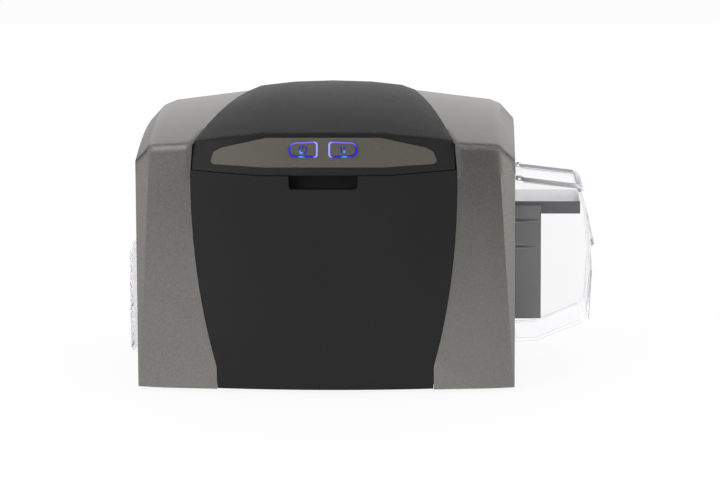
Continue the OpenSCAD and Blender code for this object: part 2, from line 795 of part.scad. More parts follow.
module frame_outline() {
  difference() {
    polygon([[frame_x0, base_top], [frame_x1, base_top], [frame_x1, path_z - 3],
      [arm_x1, path_z + 0.5], [arm_x1, frame_low_top - 8], [arm_x1 - 14, frame_low_top],
      [head_pivot[0] + 20, frame_low_top], [head_pivot[0] + 12, frame_top],
      [take_up_x - 12, frame_top], [take_up_x - 20, frame_low_top],
      [frame_x0, frame_low_top]]);
    for (p = shaft_places) translate(p) circle(r = bush_r, $fn = round_fn);
    translate(head_pivot) circle(r = shaft_r + turn_fit, $fn = round_fn);
  }
}
module front_frame() placed() {
  color("silver") upright(frame_y0, frame_t) difference() {
    frame_outline();
    translate([bay_x0, path_z + 0.2]) square([bay_x1 - bay_x0, bay_z1 - path_z]);
    translate([frame_x0 + 12, base_top + 18]) square([30, 60]);
    translate([frame_x1 - 42, base_top + 18]) square([30, 44]);
  }
}
perch_t = 2.5;
module rear_frame() placed() {
  color("silver") {
    upright(frame_y1, frame_t) difference() {
      frame_outline();
      translate([take_up_x, spool_z]) circle(r = 4.2, $fn = round_fn);
      translate(motor_at) circle(r = 11, $fn = round_fn);
      translate([print_x - 30, base_top + 20]) square([30, 50]);
    }
    translate([print_x - 8, card_y - 8, frame_top - perch_t])
      cube([16, frame_y1 + frame_t - card_y + 8, perch_t]);
    idler_stub(feed_idler_at);
    idler_stub(exit_idler_at);
  }
}
module bush(x, z, y, out) {
  difference() {
    union() {
      bar(x, z, y, y + frame_t, bush_r);
      bar(x, z, out < 0 ? y - 1.2 : y + frame_t, out < 0 ? y : y + frame_t + 1.2, bush_r + 0.9);
    }
    bar(x, z, y - 5, y + 10, shaft_r + turn_fit);
  }
}
module shaft_bushes() placed() {
  color("gold") for (p = shaft_places) {
    bush(p[0], p[1], frame_y0, -1);
    bush(p[0], p[1], frame_y1, 1);
  }
}

// ---- Rollers and gears ----

roller_y0 = frame_y0 + frame_t + 2.5;
roller_y1 = frame_y1 - 2.5;
gear_y = frame_y1 + frame_t + 2;
module roller(x, z, r) {
  difference() {
    bar(x, z, roller_y0, roller_y1, r);
    bar(x, z, roller_y0 - 1, roller_y1 + 1, shaft_r);
  }
}
module shaft(x, z) {
  bar(x, z, frame_y0 - 2.5, gear_y + gear_w + 1.5, shaft_r);
}
// One involute tooth flank, as points from the base circle to the tip
pressure = 20;
function involute(rb, a) = [rb * (cos(a) + a * PI / 180 * sin(a)), rb * (sin(a) - a * PI / 180 * cos(a))];
function flank_angle(rb, r) = sqrt(max(0, pow(r / rb, 2) - 1)) * 180 / PI;
function turned(p, a) = [p[0] * cos(a) - p[1] * sin(a), p[0] * sin(a) + p[1] * cos(a)];
backlash = 0.16;
function tooth(teeth) = let(
    rp = gear_m * teeth / 2,
    rb = rp * cos(pressure),
    ra = rp + gear_m,
    rr = rp - 1.25 * gear_m,
    a_tip = flank_angle(rb, ra),
    a_pitch = flank_angle(rb, rp),
    p = involute(rb, a_pitch),
    half = 90 / teeth - backlash / rp * 90 / PI + atan2(p[1], p[0]),
    a0 = rb < rr ? flank_angle(rb, rr) : 0,
    flank = [for (k = [0:3]) turned(involute(rb, a0 + (a_tip - a0) * k / 3), -half)],
    foot = rb < rr ? [] : [turned([rr, 0], -half)])
  concat(foot, flank, [for (i = [3:-1:0]) [flank[i][0], -flank[i][1]]],
    [for (i = foot) [i[0], -i[1]]]);
module gear_outline(teeth, turn) {
  one = tooth(teeth);
  polygon([for (k = [0:teeth - 1], q = one) turned(q, turn + k * 360 / teeth)]);
}
// The turn that puts gear B in mesh with gear A, where A lies at turn_a and B stands
// from A in the direction given
function mesh_turn(direction, turn_a, teeth_a, teeth_b) =
  direction + 180 - 360 / teeth_b * (0.5 - (direction - turn_a) * teeth_a / 360);
function direction(a, b) = atan2(b[1] - a[1], b[0] - a[0]);
// The place of a gear that meshes with two others, below the line between them
function between(a, b, da, db) = let(
    d = norm(b - a),
    along = (da * da - db * db + d * d) / (2 * d),
    off = sqrt(max(0, da * da - along * along)))
  a + (b - a) / d * along + off * [b[1] - a[1], a[0] - b[0]] / d;
function idler_teeth(a, b) = ceil((norm(b - a) - gear_m * (platen_teeth + drive_teeth) / 2) / gear_m + 0.3);

platen_at = [print_x, platen_z];
feed_at = [feed_x, roller_z];
exit_at = [exit_x, roller_z];
pick_at = [pick_x, pick_z];
feed_idler_teeth = idler_teeth(platen_at, feed_at);
exit_idler_teeth = idler_teeth(exit_at, platen_at);
feed_idler_at = between(platen_at, feed_at, gear_m * (platen_teeth + feed_idler_teeth) / 2,
  gear_m * (drive_teeth + feed_idler_teeth) / 2);
exit_idler_at = between(exit_at, platen_at, gear_m * (drive_teeth + exit_idler_teeth) / 2,
  gear_m * (platen_teeth + exit_idler_teeth) / 2);
motor_at = feed_idler_at - [0, gear_m * (feed_idler_teeth + pinion_teeth) / 2];
feed_idler_turn = mesh_turn(direction(platen_at, feed_idler_at), 0, platen_teeth, feed_idler_teeth);
feed_turn = mesh_turn(direction(feed_idler_at, feed_at), feed_idler_turn, feed_idler_teeth, drive_teeth);
pick_turn = mesh_turn(direction(feed_at, pick_at), feed_turn, drive_teeth, pick_teeth);
exit_idler_turn = mesh_turn(direction(platen_at, exit_idler_at), 0, platen_teeth, exit_idler_teeth);
exit_turn = mesh_turn(direction(exit_idler_at, exit_at), exit_idler_turn, exit_idler_teeth, drive_teeth);
pinion_turn = mesh_turn(-90, feed_idler_turn, feed_idler_teeth, pinion_teeth);

module gear(at, teeth, turn, bore) {
  upright(gear_y, gear_w) translate(at) difference() {
    gear_outline(teeth, turn);
    circle(r = bore, $fn = round_fn);
    if (teeth > 30) for (k = [0:5]) rotate(k * 60 + turn)
      translate([gear_m * teeth * 0.31, 0]) circle(r = teeth * 0.085, $fn = 24);
  }
}
module idler(at, teeth, turn) {
  gear(at, teeth, turn, shaft_r + turn_fit);
}
module idler_stub(at) {
  bar(at[0], at[1], frame_y1 + frame_t, gear_y + gear_w + 1, shaft_r);
  bar(at[0], at[1], frame_y1 + frame_t, gear_y - 0.4, shaft_r + 1.6);
  bar(at[0], at[1], gear_y + gear_w + 0.4, gear_y + gear_w + 1.4, shaft_r + 1);
}

module platen_roller() placed() {
  color("black") roller(print_x, platen_z, platen_r);
}
module platen_shaft() placed() {
  color("silver") shaft(print_x, platen_z);
}
module platen_gear() placed() {
  color("ivory") gear(platen_at, platen_teeth, 0, shaft_r);
}
module feed_roller() placed() {
  color("black") roller(feed_x, roller_z, drive_r);
}
module feed_shaft() placed() {
  color("silver") shaft(feed_x, roller_z);
}
module feed_gear() placed() {
  color("ivory") gear(feed_at, drive_teeth, feed_turn, shaft_r);
}
module exit_roller() placed() {
  color("black") roller(exit_x, roller_z, drive_r);
}
module exit_shaft() placed() {
  color("silver") shaft(exit_x, roller_z);
}
module exit_gear() placed() {
  color("ivory") gear(exit_at, drive_teeth, exit_turn, shaft_r);
}
module pick_roller() placed() {
  color("black") difference() {
    bar(pick_x, pick_z, card_y - 12, card_y + 12, pick_r);
    bar(pick_x, pick_z, card_y - 13, card_y + 13, shaft_r);
  }
}
module pick_shaft() placed() {
  color("silver") shaft(pick_x, pick_z);
}
module pick_gear() placed() {
  color("ivory") gear(pick_at, pick_teeth, pick_turn, shaft_r);
}
module pinch_roller(x) {
  bar(x, pinch_z, roller_y0, roller_y1, pinch_r);
  bar(x, pinch_z, frame_y0 - 1.5, frame_y1 + frame_t + 1.5, shaft_r);
}
module feed_pinch_roller() placed() {
  color("silver") pinch_roller(feed_x);
}
module exit_pinch_roller() placed() {
  color("silver") pinch_roller(exit_x);
}
module feed_idler_gear() placed() {
  color("ivory") idler(feed_idler_at, feed_idler_teeth, feed_idler_turn);
}
module exit_idler_gear() placed() {
  color("ivory") idler(exit_idler_at, exit_idler_teeth, exit_idler_turn);
}
motor_side = 35;
motor_l = 26;
module drive_motor() placed() {
  color("gray") difference() {
    union() {
      translate([motor_at[0] - motor_side / 2, frame_y1 - motor_l, motor_at[1] - motor_side / 2])
        cube([motor_side, motor_l, motor_side]);
      bar(motor_at[0], motor_at[1], frame_y1, frame_y1 + 1.5, 10.9);
    }
    bar(motor_at[0], motor_at[1], frame_y1 - 18, frame_y1 + 5, shaft_r + turn_fit);
  }
}
module motor_pinion() placed() {
  color("gold") {
    gear(motor_at, pinion_teeth, pinion_turn, 1);
    bar(motor_at[0], motor_at[1], frame_y1 - 14, gear_y + 1, shaft_r);
    bar(motor_at[0], motor_at[1], gear_y, gear_y + gear_w + 2, shaft_r);
  }
}

// ---- Ribbon cartridge ----

cart_y0 = frame_y0 - 12;
cart_y1 = frame_y1 - 2;
cart_x0 = take_up_x - 20;
cart_x1 = supply_x + 26;
cart_z0 = path_z + 2.4;
cart_z1 = bay_z1 - 1.8;
cart_t = 2.5;
spool_y0 = roller_y0 - 0.5;
spool_y1 = cart_y1 - cart_t - 1;
module cartridge_end(y) {
  upright(y, cart_t) difference() {
    translate([cart_x0, cart_z0]) square([cart_x1 - cart_x0, cart_z1 - cart_z0]);
    translate([supply_x, spool_z]) circle(r = 4.05, $fn = round_fn);
    translate([take_up_x, spool_z]) circle(r = 4.05, $fn = round_fn);
    translate([clean_x, clean_z]) circle(r = 2 + turn_fit, $fn = round_fn);
    translate([print_x - 16, cart_z0 - 1]) square([37, cart_z1]);
  }
}
clean_x = cart_x1 - 6.5;
clean_z = path_z + card_t + 6.3;
module cartridge_frame() placed() {
  color("gray") {
    cartridge_end(cart_y1 - cart_t);
    cartridge_end(cart_y0);
    translate([cart_x0, cart_y0, cart_z0]) cube([cart_t, cart_y1 - cart_y0, cart_z1 - cart_z0]);
    translate([cart_x1 - cart_t, cart_y0, spool_z])
      cube([cart_t, cart_y1 - cart_y0, cart_z1 - spool_z]);
    cartridge_handle();
  }
}
handle_w = 46;
module cartridge_handle() {
  translate([print_x - handle_w / 2, cart_y0 - 14, cart_z0]) {
    translate([0, 11, 0]) cube([handle_w, 3, cart_z1 - cart_z0]);
    for (x = [0, handle_w - 3]) translate([x, 0, 6]) cube([3, 12, 14]);
    translate([0, 0, 6]) cube([handle_w, 3, 14]);
  }
}
module spool(x, roll_r) {
  difference() {
    union() {
      bar(x, spool_z, cart_y0 - 1, cart_y1 + 0.5, 4);
      bar(x, spool_z, spool_y0 - 1.5, spool_y1 + 0.5, core_r);
      bar(x, spool_z, spool_y0, spool_y1, roll_r);
    }
    bar(x, spool_z, cart_y1 - 12, cart_y1 + 5, 2.6);
  }
}
module supply_spool() placed() {
  color("orange") spool(supply_x, ribbon_r);
}
module take_up_spool() placed() {
  color("brown") spool(take_up_x, core_r + 1.5);
}
film_t = 0.25;
film_z = path_z + card_t + 0.2;
module ribbon_film() placed() {
  color("purple") upright(spool_y0 + 0.5, spool_y1 - spool_y0 - 1) {
    translate([print_x - 14, film_z]) square([28, film_t]);
    film_run(print_x + 14, supply_x - ribbon_r - 0.4, spool_z);
    mirror([1, 0]) film_run(14 - print_x, -take_up_x - core_r - 1.9, spool_z);
  }
}
module film_run(x0, x1, z1) {
  polygon([[x0, film_z], [x0, film_z + film_t], [x1 - film_t, z1], [x1, z1]]);
}
module cleaning_roller() placed() {
  color("deepskyblue") {
    bar(clean_x, clean_z, spool_y0, spool_y1, 4.5);
    bar(clean_x, clean_z, cart_y0 - 0.8, cart_y1 + 0.5, 2);
  }
}
module take_up_spindle() placed() {
  color("silver") bar(take_up_x, spool_z, cart_y1 - 11, frame_y1 + frame_t + 6, 2);
}
module ribbon_motor() placed() {
  color("gray") difference() {
    bar(take_up_x, spool_z, frame_y1 + frame_t, frame_y1 + frame_t + 26, 11);
    bar(take_up_x, spool_z, frame_y1, frame_y1 + frame_t + 8, 2 + turn_fit);
  }
}

// ---- Printhead ----

head_z = film_z + film_t + 0.3;
head_y0 = roller_y0 + 1;
head_y1 = roller_y1 - 2;
module printhead() placed() {
  color("dimgray") upright(head_y0, head_y1 - head_y0) polygon([[print_x - 2, head_z],
    [print_x + 2, head_z], [print_x + 10, head_z + 4], [print_x + 10, head_z + 20],
    [print_x - 10, head_z + 20], [print_x - 10, head_z + 4]]);
}
module head_arm() placed() {
  z = head_z + 20;
  color("silver") {
    upright(head_y0, head_y1 - head_y0) polygon([[print_x - 11, z], [print_x + 11, z],
      [print_x + 20, z + 7], [head_pivot[0] + 3, z + 7], [head_pivot[0] + 3, z + 10],
      [print_x - 11, z + 10]]);
    upright(head_y0, 3) arm_ear();
    upright(head_y1 - 3, 3) arm_ear();
    bar(head_pivot[0], head_pivot[1], frame_y0 - 2, frame_y1 + frame_t + 2, shaft_r);
  }
}
module arm_ear() {
  translate(head_pivot) circle(r = 5.5, $fn = round_fn);
  translate([head_pivot[0] - 12, head_z + 27.5]) square([12, 6]);
}
spring_turns = 5;
spring_r = 5;
wire_r = 0.6;
spring_z0 = head_z + 30;
spring_h = frame_top - perch_t - spring_z0;
// A coil standing on Z: rings of six points around the wire
module coil(r, wire, h, turns) {
  steps = turns * 10;
  pts = [for (k = [0:steps], j = [0:5]) let(a = k * 36, b = j * 60)
    [(r + wire * cos(b)) * cos(a), (r + wire * cos(b)) * sin(a), h * k / steps + wire * sin(b)]];
  polyhedron(points = pts, faces = concat([[for (j = [0:5]) j]],
    [[for (j = [5:-1:0]) steps * 6 + j]],
    [for (k = [0:steps - 1], j = [0:5]) let(i = (j + 1) % 6)
      [k * 6 + i, k * 6 + j, (k + 1) * 6 + j]],
    [for (k = [0:steps - 1], j = [0:5]) let(i = (j + 1) % 6)
      [k * 6 + i, (k + 1) * 6 + j, (k + 1) * 6 + i]]));
}
module head_spring() placed() {
  color("silver") translate([print_x, card_y, spring_z0 + wire_r])
    coil(spring_r, wire_r, spring_h - 2 * wire_r, spring_turns);
}

// ---- Card guide, hopper and tray ----

guide_x1 = half_w + 20;
guide_x0 = stack_x0 - 1.4;
// Wedge-shaped slots in the guide's front wall, which take the hopper's tongues
slot_z = [path_z - 14.9, path_z - 34.8];
slot_low_h = 1.1;
slot_slope = 0.146;
// One wedge from x0 to the guide's edge, made smaller by gap
module wedge(x0, z, gap) {
  x1 = guide_x1 - 0.8 - gap;
  h0 = slot_low_h + slot_slope * (x1 - x0) - 2 * gap;
  h1 = slot_low_h - gap;
  polygon([[x0, z - h0 / 2], [x0, z + h0 / 2], [x1, z + h1 / 2], [x1, z - h1 / 2]]);
}
rebate_w = 4.5;
rebate_d = 1.2;
module card_guide() placed() {
  color("gray") {
    difference() {
      for (y = [guide_y0 - guide_t, guide_y1]) upright(y, guide_t) difference() {
        translate([guide_x0, base_top]) square([guide_x1 - guide_x0, tray_top - 3 - base_top]);
        translate([half_w - wall - 1, base_top - 1]) square([40, stack_low - base_top + 1]);
        translate([guide_x0 + 8, base_top + 8]) square([14, stack_low - base_top - 16]);
        if (y < 0) for (z = slot_z) wedge(half_w - 10, z, 0);
      }
      translate([guide_x1 - rebate_w, guide_y0 - guide_t - 1, base_top])
        cube([rebate_w + 1, rebate_d + 1, path_z]);
    }
    translate([guide_x0 - 0.1, guide_y0 - 0.1, stack_low - 4])
      cube([half_w - wall - 1.5 - guide_x0, guide_y1 - guide_y0 + 0.2, 3]);
    translate([guide_x0 - 0.1, guide_y0 - 0.1, stack_low - 4])
      cube([1.2, guide_y1 - guide_y0 + 0.2, tray_top - 3 - stack_low]);
  }
}
module card_tray() placed() {
  color("gray") difference() {
    translate([stack_x0 + 0.6, guide_y0 + slide_gap, tray_low])
      cube([stack_x1 - stack_x0 - 0.6, guide_y1 - guide_y0 - 2 * slide_gap, tray_t]);
    translate([stack_x0 + 3, guide_y0 + 3, tray_low - 1])
      cube([stack_x1 - stack_x0 - 6, guide_y1 - guide_y0 - 6, tray_t - 2]);
  }
}
module tray_spring() placed() {
  color("silver") translate([stack_x0 + 18, card_y, stack_low - 1 + wire_r])
    coil(7, wire_r, tray_top - 3 - stack_low + 1 - 2 * wire_r, 8);
}

// Top line of the hopper's clear walls, falling away from the body
shell_top = [[half_w, lid_z - 0.4], [hopper_x - 12.3, lid_z - 5.6]];
shell_side = [[hopper_x - 9, path_z + 6.5], [hopper_x - 3.7, path_z - 11],
  [hopper_x - 1.6, path_z - 36], [hopper_x - 0.6, path_z - 53], [hopper_x - 2.7, stack_low + 0.3]];
shell_foot = [shell_kink, [half_w, shell_foot_z]];
module hopper_wall(y) {
  upright(y, clear_t) difference() {
    union() {
      polygon(concat(shell_top, shell_side, shell_foot));
      translate(lid_pivot) circle(r = ear_r, $fn = round_fn);
      translate([half_w, lid_z - 4]) square([lid_pivot[0] + ear_r - half_w, lid_pivot[1] - lid_z + 4]);
    }
    for (p = [door_pivot, lid_pivot]) translate(p) circle(r = small_pin_r + turn_fit, $fn = round_fn);
  }
}
door_pivot = [hopper_x - 5, stack_low + 2.2];
lid_pivot = [half_w + 3.6, lid_z + 1.2];
small_pin_r = 1.2;
shell_in_y0 = shell_y0 + clear_t + swing_gap;
shell_in_y1 = shell_y1 - clear_t - swing_gap;
// A shallow thumb recess in each side wall, beside the grip on the door
recess_w = 19.6;
recess_h = 22;
recess_d = 0.5;
tongue_gap = 0.2;
tongue_l = guide_y0 - tongue_gap - shell_y0 - clear_t / 2;
module hopper_shell() placed() {
  color("lightblue") {
    difference() {
      union() {
        hopper_wall(shell_y0);
        hopper_wall(shell_y1 - clear_t);
      }
      for (y = [shell_y0 - 1, shell_y1 - recess_d])
        translate([hopper_x - recess_w, y, path_z - 35.5]) cube([recess_w, recess_d + 1, recess_h]);
    }
    upright(shell_y0, shell_y1 - shell_y0) polygon([[half_w, shell_foot_z], shell_kink,
      [hopper_x - 9, stack_low - 2.8], [hopper_x - 9, stack_low - 2.8 + clear_t],
      shell_kink + [-0.4, clear_t], [half_w, shell_foot_z + clear_t]]);
    upright(shell_y0 + clear_t / 2, tongue_l) for (z = slot_z) wedge(half_w, z, tongue_gap);
  }
}
// The clear door: a bent sheet along the hopper's end, with a finger grip
tab_wide = 24;
module hopper_door() placed() {
  outer = shell_side;
  n = len(outer) - 1;
  inner = [for (i = [n:-1:0]) [outer[i][0] - clear_t, outer[i][1]]];
  color("lightblue") {
    upright(shell_in_y0, shell_in_y1 - shell_in_y0) polygon(concat(outer, inner));
    translate([0, card_y, 0]) upright(-tab_wide / 2, tab_wide) polygon([[hopper_x - 3.4, path_z - 11.5],
      [hopper_x + tab_out, path_z - 36.5], [hopper_x + 0.4, path_z - 38.5],
      [hopper_x - 0.4, path_z - 38], [hopper_x + tab_out - 1.7, path_z - 36],
      [hopper_x - 4.2, path_z - 13]]);
    bar(door_pivot[0], door_pivot[1], shell_in_y0, shell_in_y1, 2.4);
    bar(door_pivot[0], door_pivot[1], shell_y0, shell_y1, small_pin_r);
  }
}
module hopper_lid() placed() {
  slope = lid_fall / (hopper_x - half_w - 13);
  x0 = half_w + 1.2;
  x1 = hopper_x - 13;
  z0 = lid_z + lid_t;
  z1 = z0 - slope * (x1 - x0);
  color("lightblue") {
    difference() {
      upright(shell_y0, shell_y1 - shell_y0) polygon([[x0, z0], [x1, z1], [x1 + 3, z1 - 1],
        [x1 + 5, z1 - 3.2], [x1 + 6, z1 - 5.6], [x1 + 4.4, z1 - 5.6], [x1 + 3.2, z1 - 4.2],
        [x1 + 1.4, z1 - lid_t], [x0, lid_z]]);
      for (y = [shell_y0 - 1, shell_in_y1]) translate([x0 - 1, y, lid_z - 2])
        cube([lid_pivot[0] + ear_r + swing_gap - x0 + 1, clear_t + swing_gap + 1, 9]);
    }
    bar(lid_pivot[0], lid_pivot[1], shell_y0, shell_y1, small_pin_r);
  }
}

// ---- Output bin and flap ----

module output_bin() placed() {
  x1 = bin_x1;
  color("lightblue") {
    translate([bin_x0 + 1.5, shell_y0, bin_z]) cube([x1 - bin_x0 - 1.5, shell_y1 - shell_y0, clear_t]);
    for (y = [shell_y0, shell_y1 - clear_t]) upright(y, clear_t) polygon([
      [bin_x0, bin_z + 4], [bin_x0 + 1.5, bin_z], [x1, bin_z], [x1, bin_z + 40],
      [x1 - 30, bin_joint_z], [bin_x0, bin_joint_z]]);
    upright(shell_y0, shell_y1 - shell_y0) polygon([[bin_x0, bin_z + 4], [bin_x0 + 1.5, bin_z],
      [bin_x0 + 3, bin_z + 1.5], [bin_x0 + 2, bin_z + 4.5], [bin_x0 + 2, bin_joint_z],
      [bin_x0, bin_joint_z]]);
    translate([x1 - clear_t, shell_y0, bin_z]) cube([clear_t, shell_y1 - shell_y0, 40]);
    for (y = [card_y - 20, card_y + 20]) translate([x1 - 40, y - 1.5, base_top])
      cube([30, 3, bin_z - base_top]);
    bin_ear(shell_y0 - clear_t - 0.3);
    mirror_y(shell_y0 + shell_y1) bin_ear(shell_y0 - clear_t - 0.3);
  }
}
// Children and their mirror image about the plane y = sum / 2
module mirror_y(sum) {
  translate([0, sum, 0]) mirror([0, 1, 0]) children();
}
flap_pin_r = 1;
module bin_ear(y) {
  upright(y, clear_t) difference() {
    union() {
      translate(flap_pivot) circle(r = 2.2, $fn = round_fn);
      translate([flap_pivot[0] - 1.6, bin_joint_z - 8]) square([3.8, flap_pivot[1] - bin_joint_z + 8]);
    }
    translate(flap_pivot) circle(r = flap_pin_r + turn_fit, $fn = round_fn);
  }
  upright(y, clear_t + 1) translate([flap_pivot[0] - 1.6, bin_joint_z - 8]) square([3.8, 7]);
}
flap_pivot = [bin_x0 + 1.6, bin_joint_z + 2.8];
module output_flap() placed() {
  color("lightblue") {
    upright(shell_y0, shell_y1 - shell_y0) polygon([[bin_x0, bin_joint_z + 1.2],
      [bin_x0, flap_top_z - 9], [bin_x0 + 4, flap_top_z], [bin_x0 + bin_out - 0.5, flap_top_z],
      [bin_x0 + bin_out - 0.5, flap_top_z - 2], [bin_x0 + 5, flap_top_z - 2],
      [bin_x0 + 2, flap_top_z - 9.2], [bin_x0 + 2, bin_joint_z + 1.2]]);
    for (y = [shell_y0, shell_y1 - clear_t]) upright(y, clear_t) polygon([
      [bin_x0, bin_joint_z + 1.2], [bin_x0, flap_top_z - 9], [bin_x0 + 4, flap_top_z],
      [bin_x0 + bin_out - 0.5, flap_top_z], [bin_x0 + bin_out - 0.5, bin_joint_z + 6],
      [bin_x0 + 4, bin_joint_z + 1.2]]);
    bar(flap_pivot[0], flap_pivot[1], shell_y0 - clear_t - 0.3, shell_y1 + clear_t + 0.3, flap_pin_r);
  }
}

base_pan();
feet();
left_cover();
right_cover();
top_cover();
rear_panel();
front_door();
door_grip();
door_pins();
control_panel();
light_guides();
power_button();
pause_button();
control_board();
front_frame();
rear_frame();
shaft_bushes();
card_guide();
hopper_shell();
hopper_lid();
hopper_door();
card_tray();
tray_spring();
output_bin();
output_flap();
platen_roller();
platen_shaft();
platen_gear();
feed_roller();
feed_shaft();
feed_gear();
exit_roller();
exit_shaft();
exit_gear();
pick_roller();
pick_shaft();
pick_gear();
feed_pinch_roller();
exit_pinch_roller();
feed_idler_gear();
exit_idler_gear();
drive_motor();
motor_pinion();
ribbon_motor();
take_up_spindle();
cartridge_frame();
supply_spool();
take_up_spool();
ribbon_film();
cleaning_roller();
printhead();
head_arm();
head_spring();
main_board();
power_inlet();
usb_port();
fan_housing();
fan_rotor();
cover_screws();
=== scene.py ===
"""Looks for a desktop card printer.

Rounded covers, lit buttons, a clear hopper and bin, and the finishes of the works inside.
"""

import json
import math

import bpy
from mathutils import Matrix, Vector

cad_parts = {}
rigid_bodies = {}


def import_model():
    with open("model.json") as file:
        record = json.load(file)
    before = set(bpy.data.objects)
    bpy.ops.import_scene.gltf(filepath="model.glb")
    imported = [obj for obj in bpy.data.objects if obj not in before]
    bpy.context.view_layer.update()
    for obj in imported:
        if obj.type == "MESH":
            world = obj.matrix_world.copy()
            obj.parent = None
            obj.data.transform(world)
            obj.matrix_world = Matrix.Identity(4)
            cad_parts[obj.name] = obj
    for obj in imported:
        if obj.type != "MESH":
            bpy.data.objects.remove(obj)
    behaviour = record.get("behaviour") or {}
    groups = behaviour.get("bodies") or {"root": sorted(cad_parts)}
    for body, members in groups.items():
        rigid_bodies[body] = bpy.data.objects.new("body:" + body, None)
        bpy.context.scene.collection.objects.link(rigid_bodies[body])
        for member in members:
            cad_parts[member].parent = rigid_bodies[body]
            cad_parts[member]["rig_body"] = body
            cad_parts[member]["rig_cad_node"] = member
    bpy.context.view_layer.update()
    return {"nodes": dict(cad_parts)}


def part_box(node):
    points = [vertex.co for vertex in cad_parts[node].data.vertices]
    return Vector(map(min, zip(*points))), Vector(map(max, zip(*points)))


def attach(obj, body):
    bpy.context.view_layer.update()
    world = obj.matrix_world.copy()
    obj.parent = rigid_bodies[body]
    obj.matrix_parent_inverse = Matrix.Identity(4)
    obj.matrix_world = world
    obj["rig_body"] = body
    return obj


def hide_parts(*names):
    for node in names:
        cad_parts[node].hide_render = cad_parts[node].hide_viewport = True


bl_info = {
    "name": "Card Printer Looks",
    "version": (1, 0, 0),
    "blender": (4, 5, 0),
    "location": "View3D > Sidebar > Card Printer",
    "description": "Finishes the covers, panel, hopper, bin and works of a card printer",
    "category": "Object",
}

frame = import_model()
NODES = frame["nodes"]

TOP_LOW, TOP_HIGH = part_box("top_cover")
BODY_X = (TOP_LOW.x + TOP_HIGH.x) / 2
PANEL_TILT = math.radians(9.4238)
BUTTON_HEIGHT = 0.009
RING_OPENING = 32.0

# Heights and depth of the covers' creases, and the stretch over which the rounding sets in.
SIDE_CREASE, TOP_CREASE, CREASE_DEPTH, CREASE_FADE = 0.158, 0.184, -0.07, 0.004

# Where the clear mouldings' painted shade lines, painted rim shade and painted glint change: the
# door's hinge (x, z) and reach, the widest rim, the guide's margins, and the span of the door's
# grip (x, then z).
DOOR_HINGE, HINGE_REACH, WIDEST_RIM = (0.16725, 0.04564), 0.0065, 0.0034
GUIDE_BELOW, GUIDE_ABOVE = 0.05, 0.004
GRIP_ACROSS, GRIP_UP = (0.140, 0.172), (0.085, 0.138)

# The signs are thin slabs that stand a little proud of their buttons.
SIGN_DEEP, SIGN_SUNK, SIGN_SOFT, SIGN_PROUD = 0.0003, -0.0001, 0.00008, 0.00004
STROKE_SHARE = 0.9


# ---------------------------------------------------------------- settings

class PrinterSizes(bpy.types.PropertyGroup):
    cover_edge: bpy.props.FloatProperty(
        name="Cover edge", description="Radius of the covers' moulded edges",
        default=0.0009, min=0.0001, unit="LENGTH")
    clear_edge: bpy.props.FloatProperty(
        name="Clear edge", description="Radius of the clear mouldings' edges",
        default=0.0004, min=0.0001, unit="LENGTH")
    small_edge: bpy.props.FloatProperty(
        name="Small edge", description="Radius of the edges of small pieces",
        default=0.0003, min=0.0001, unit="LENGTH")
    crease_radius: bpy.props.FloatProperty(
        name="Crease radius", description="Rounding along the covers' front crease",
        default=0.007, min=0.0005, unit="LENGTH")
    panel_edge: bpy.props.FloatProperty(
        name="Panel edge", description="Width of the bevel round the control panel",
        default=0.0007, min=0.0001, unit="LENGTH")
    button_edge: bpy.props.FloatProperty(
        name="Button edge", description="Radius of the edge around each button",
        default=0.0006, min=0.0001, unit="LENGTH")
    ring_radius: bpy.props.FloatProperty(
        name="Power ring radius", description="Radius to the middle of the power sign's ring",
        default=0.0027, min=0.001, unit="LENGTH")
    sign_stroke: bpy.props.FloatProperty(
        name="Sign stroke", description="Width of the strokes of both signs",
        default=0.0013, min=0.0003, unit="LENGTH")
    pause_height: bpy.props.FloatProperty(
        name="Pause sign height", description="Height of the two bars of the pause sign",
        default=0.0046, min=0.001, unit="LENGTH")


class PrinterColours(bpy.types.PropertyGroup):
    silver: bpy.props.FloatVectorProperty(
        name="Silver paint", description="Colour of the side covers",
        default=(0.253, 0.243, 0.227), size=3, subtype="COLOR")
    black: bpy.props.FloatVectorProperty(
        name="Black plastic", description="Colour of the top cover and the door",
        default=(0.0145, 0.0145, 0.0148), size=3, subtype="COLOR")
    pewter: bpy.props.FloatVectorProperty(
        name="Pewter", description="Colour of the control panel",
        default=(0.094, 0.084, 0.071), size=3, subtype="COLOR")
    light: bpy.props.FloatVectorProperty(
        name="Button light", description="Colour of the lit rims",
        default=(0.006, 0.003, 0.55), size=3, subtype="COLOR")
    light_pale: bpy.props.FloatVectorProperty(
        name="Pale light", description="Colour of the lit rims where they are brightest",
        default=(0.42, 0.42, 0.98), size=3, subtype="COLOR")
    light_hot: bpy.props.FloatVectorProperty(
        name="Lamp light", description="Colour where a lamp shines straight through",
        default=(0.08, 0.42, 1.0), size=3, subtype="COLOR")
    sign: bpy.props.FloatVectorProperty(
        name="Sign light", description="Colour of the lit signs",
        default=(0.001, 0.001, 0.24), size=3, subtype="COLOR")
    grey: bpy.props.FloatVectorProperty(
        name="Guide grey", description="Colour of the card guide",
        default=(0.18, 0.18, 0.185), size=3, subtype="COLOR")
    tray: bpy.props.FloatVectorProperty(
        name="Tray grey", description="Colour of the card tray",
        default=(0.06, 0.06, 0.072), size=3, subtype="COLOR")


# ---------------------------------------------------------------- node groups

def socket(tree, name, way, kind="NodeSocketFloat", value=None):
    made = tree.interface.new_socket(name=name, in_out=way, socket_type=kind)
    if value is not None:
        made.default_value = value
    return made


def link(tree, a, b):
    tree.links.new(a, b)


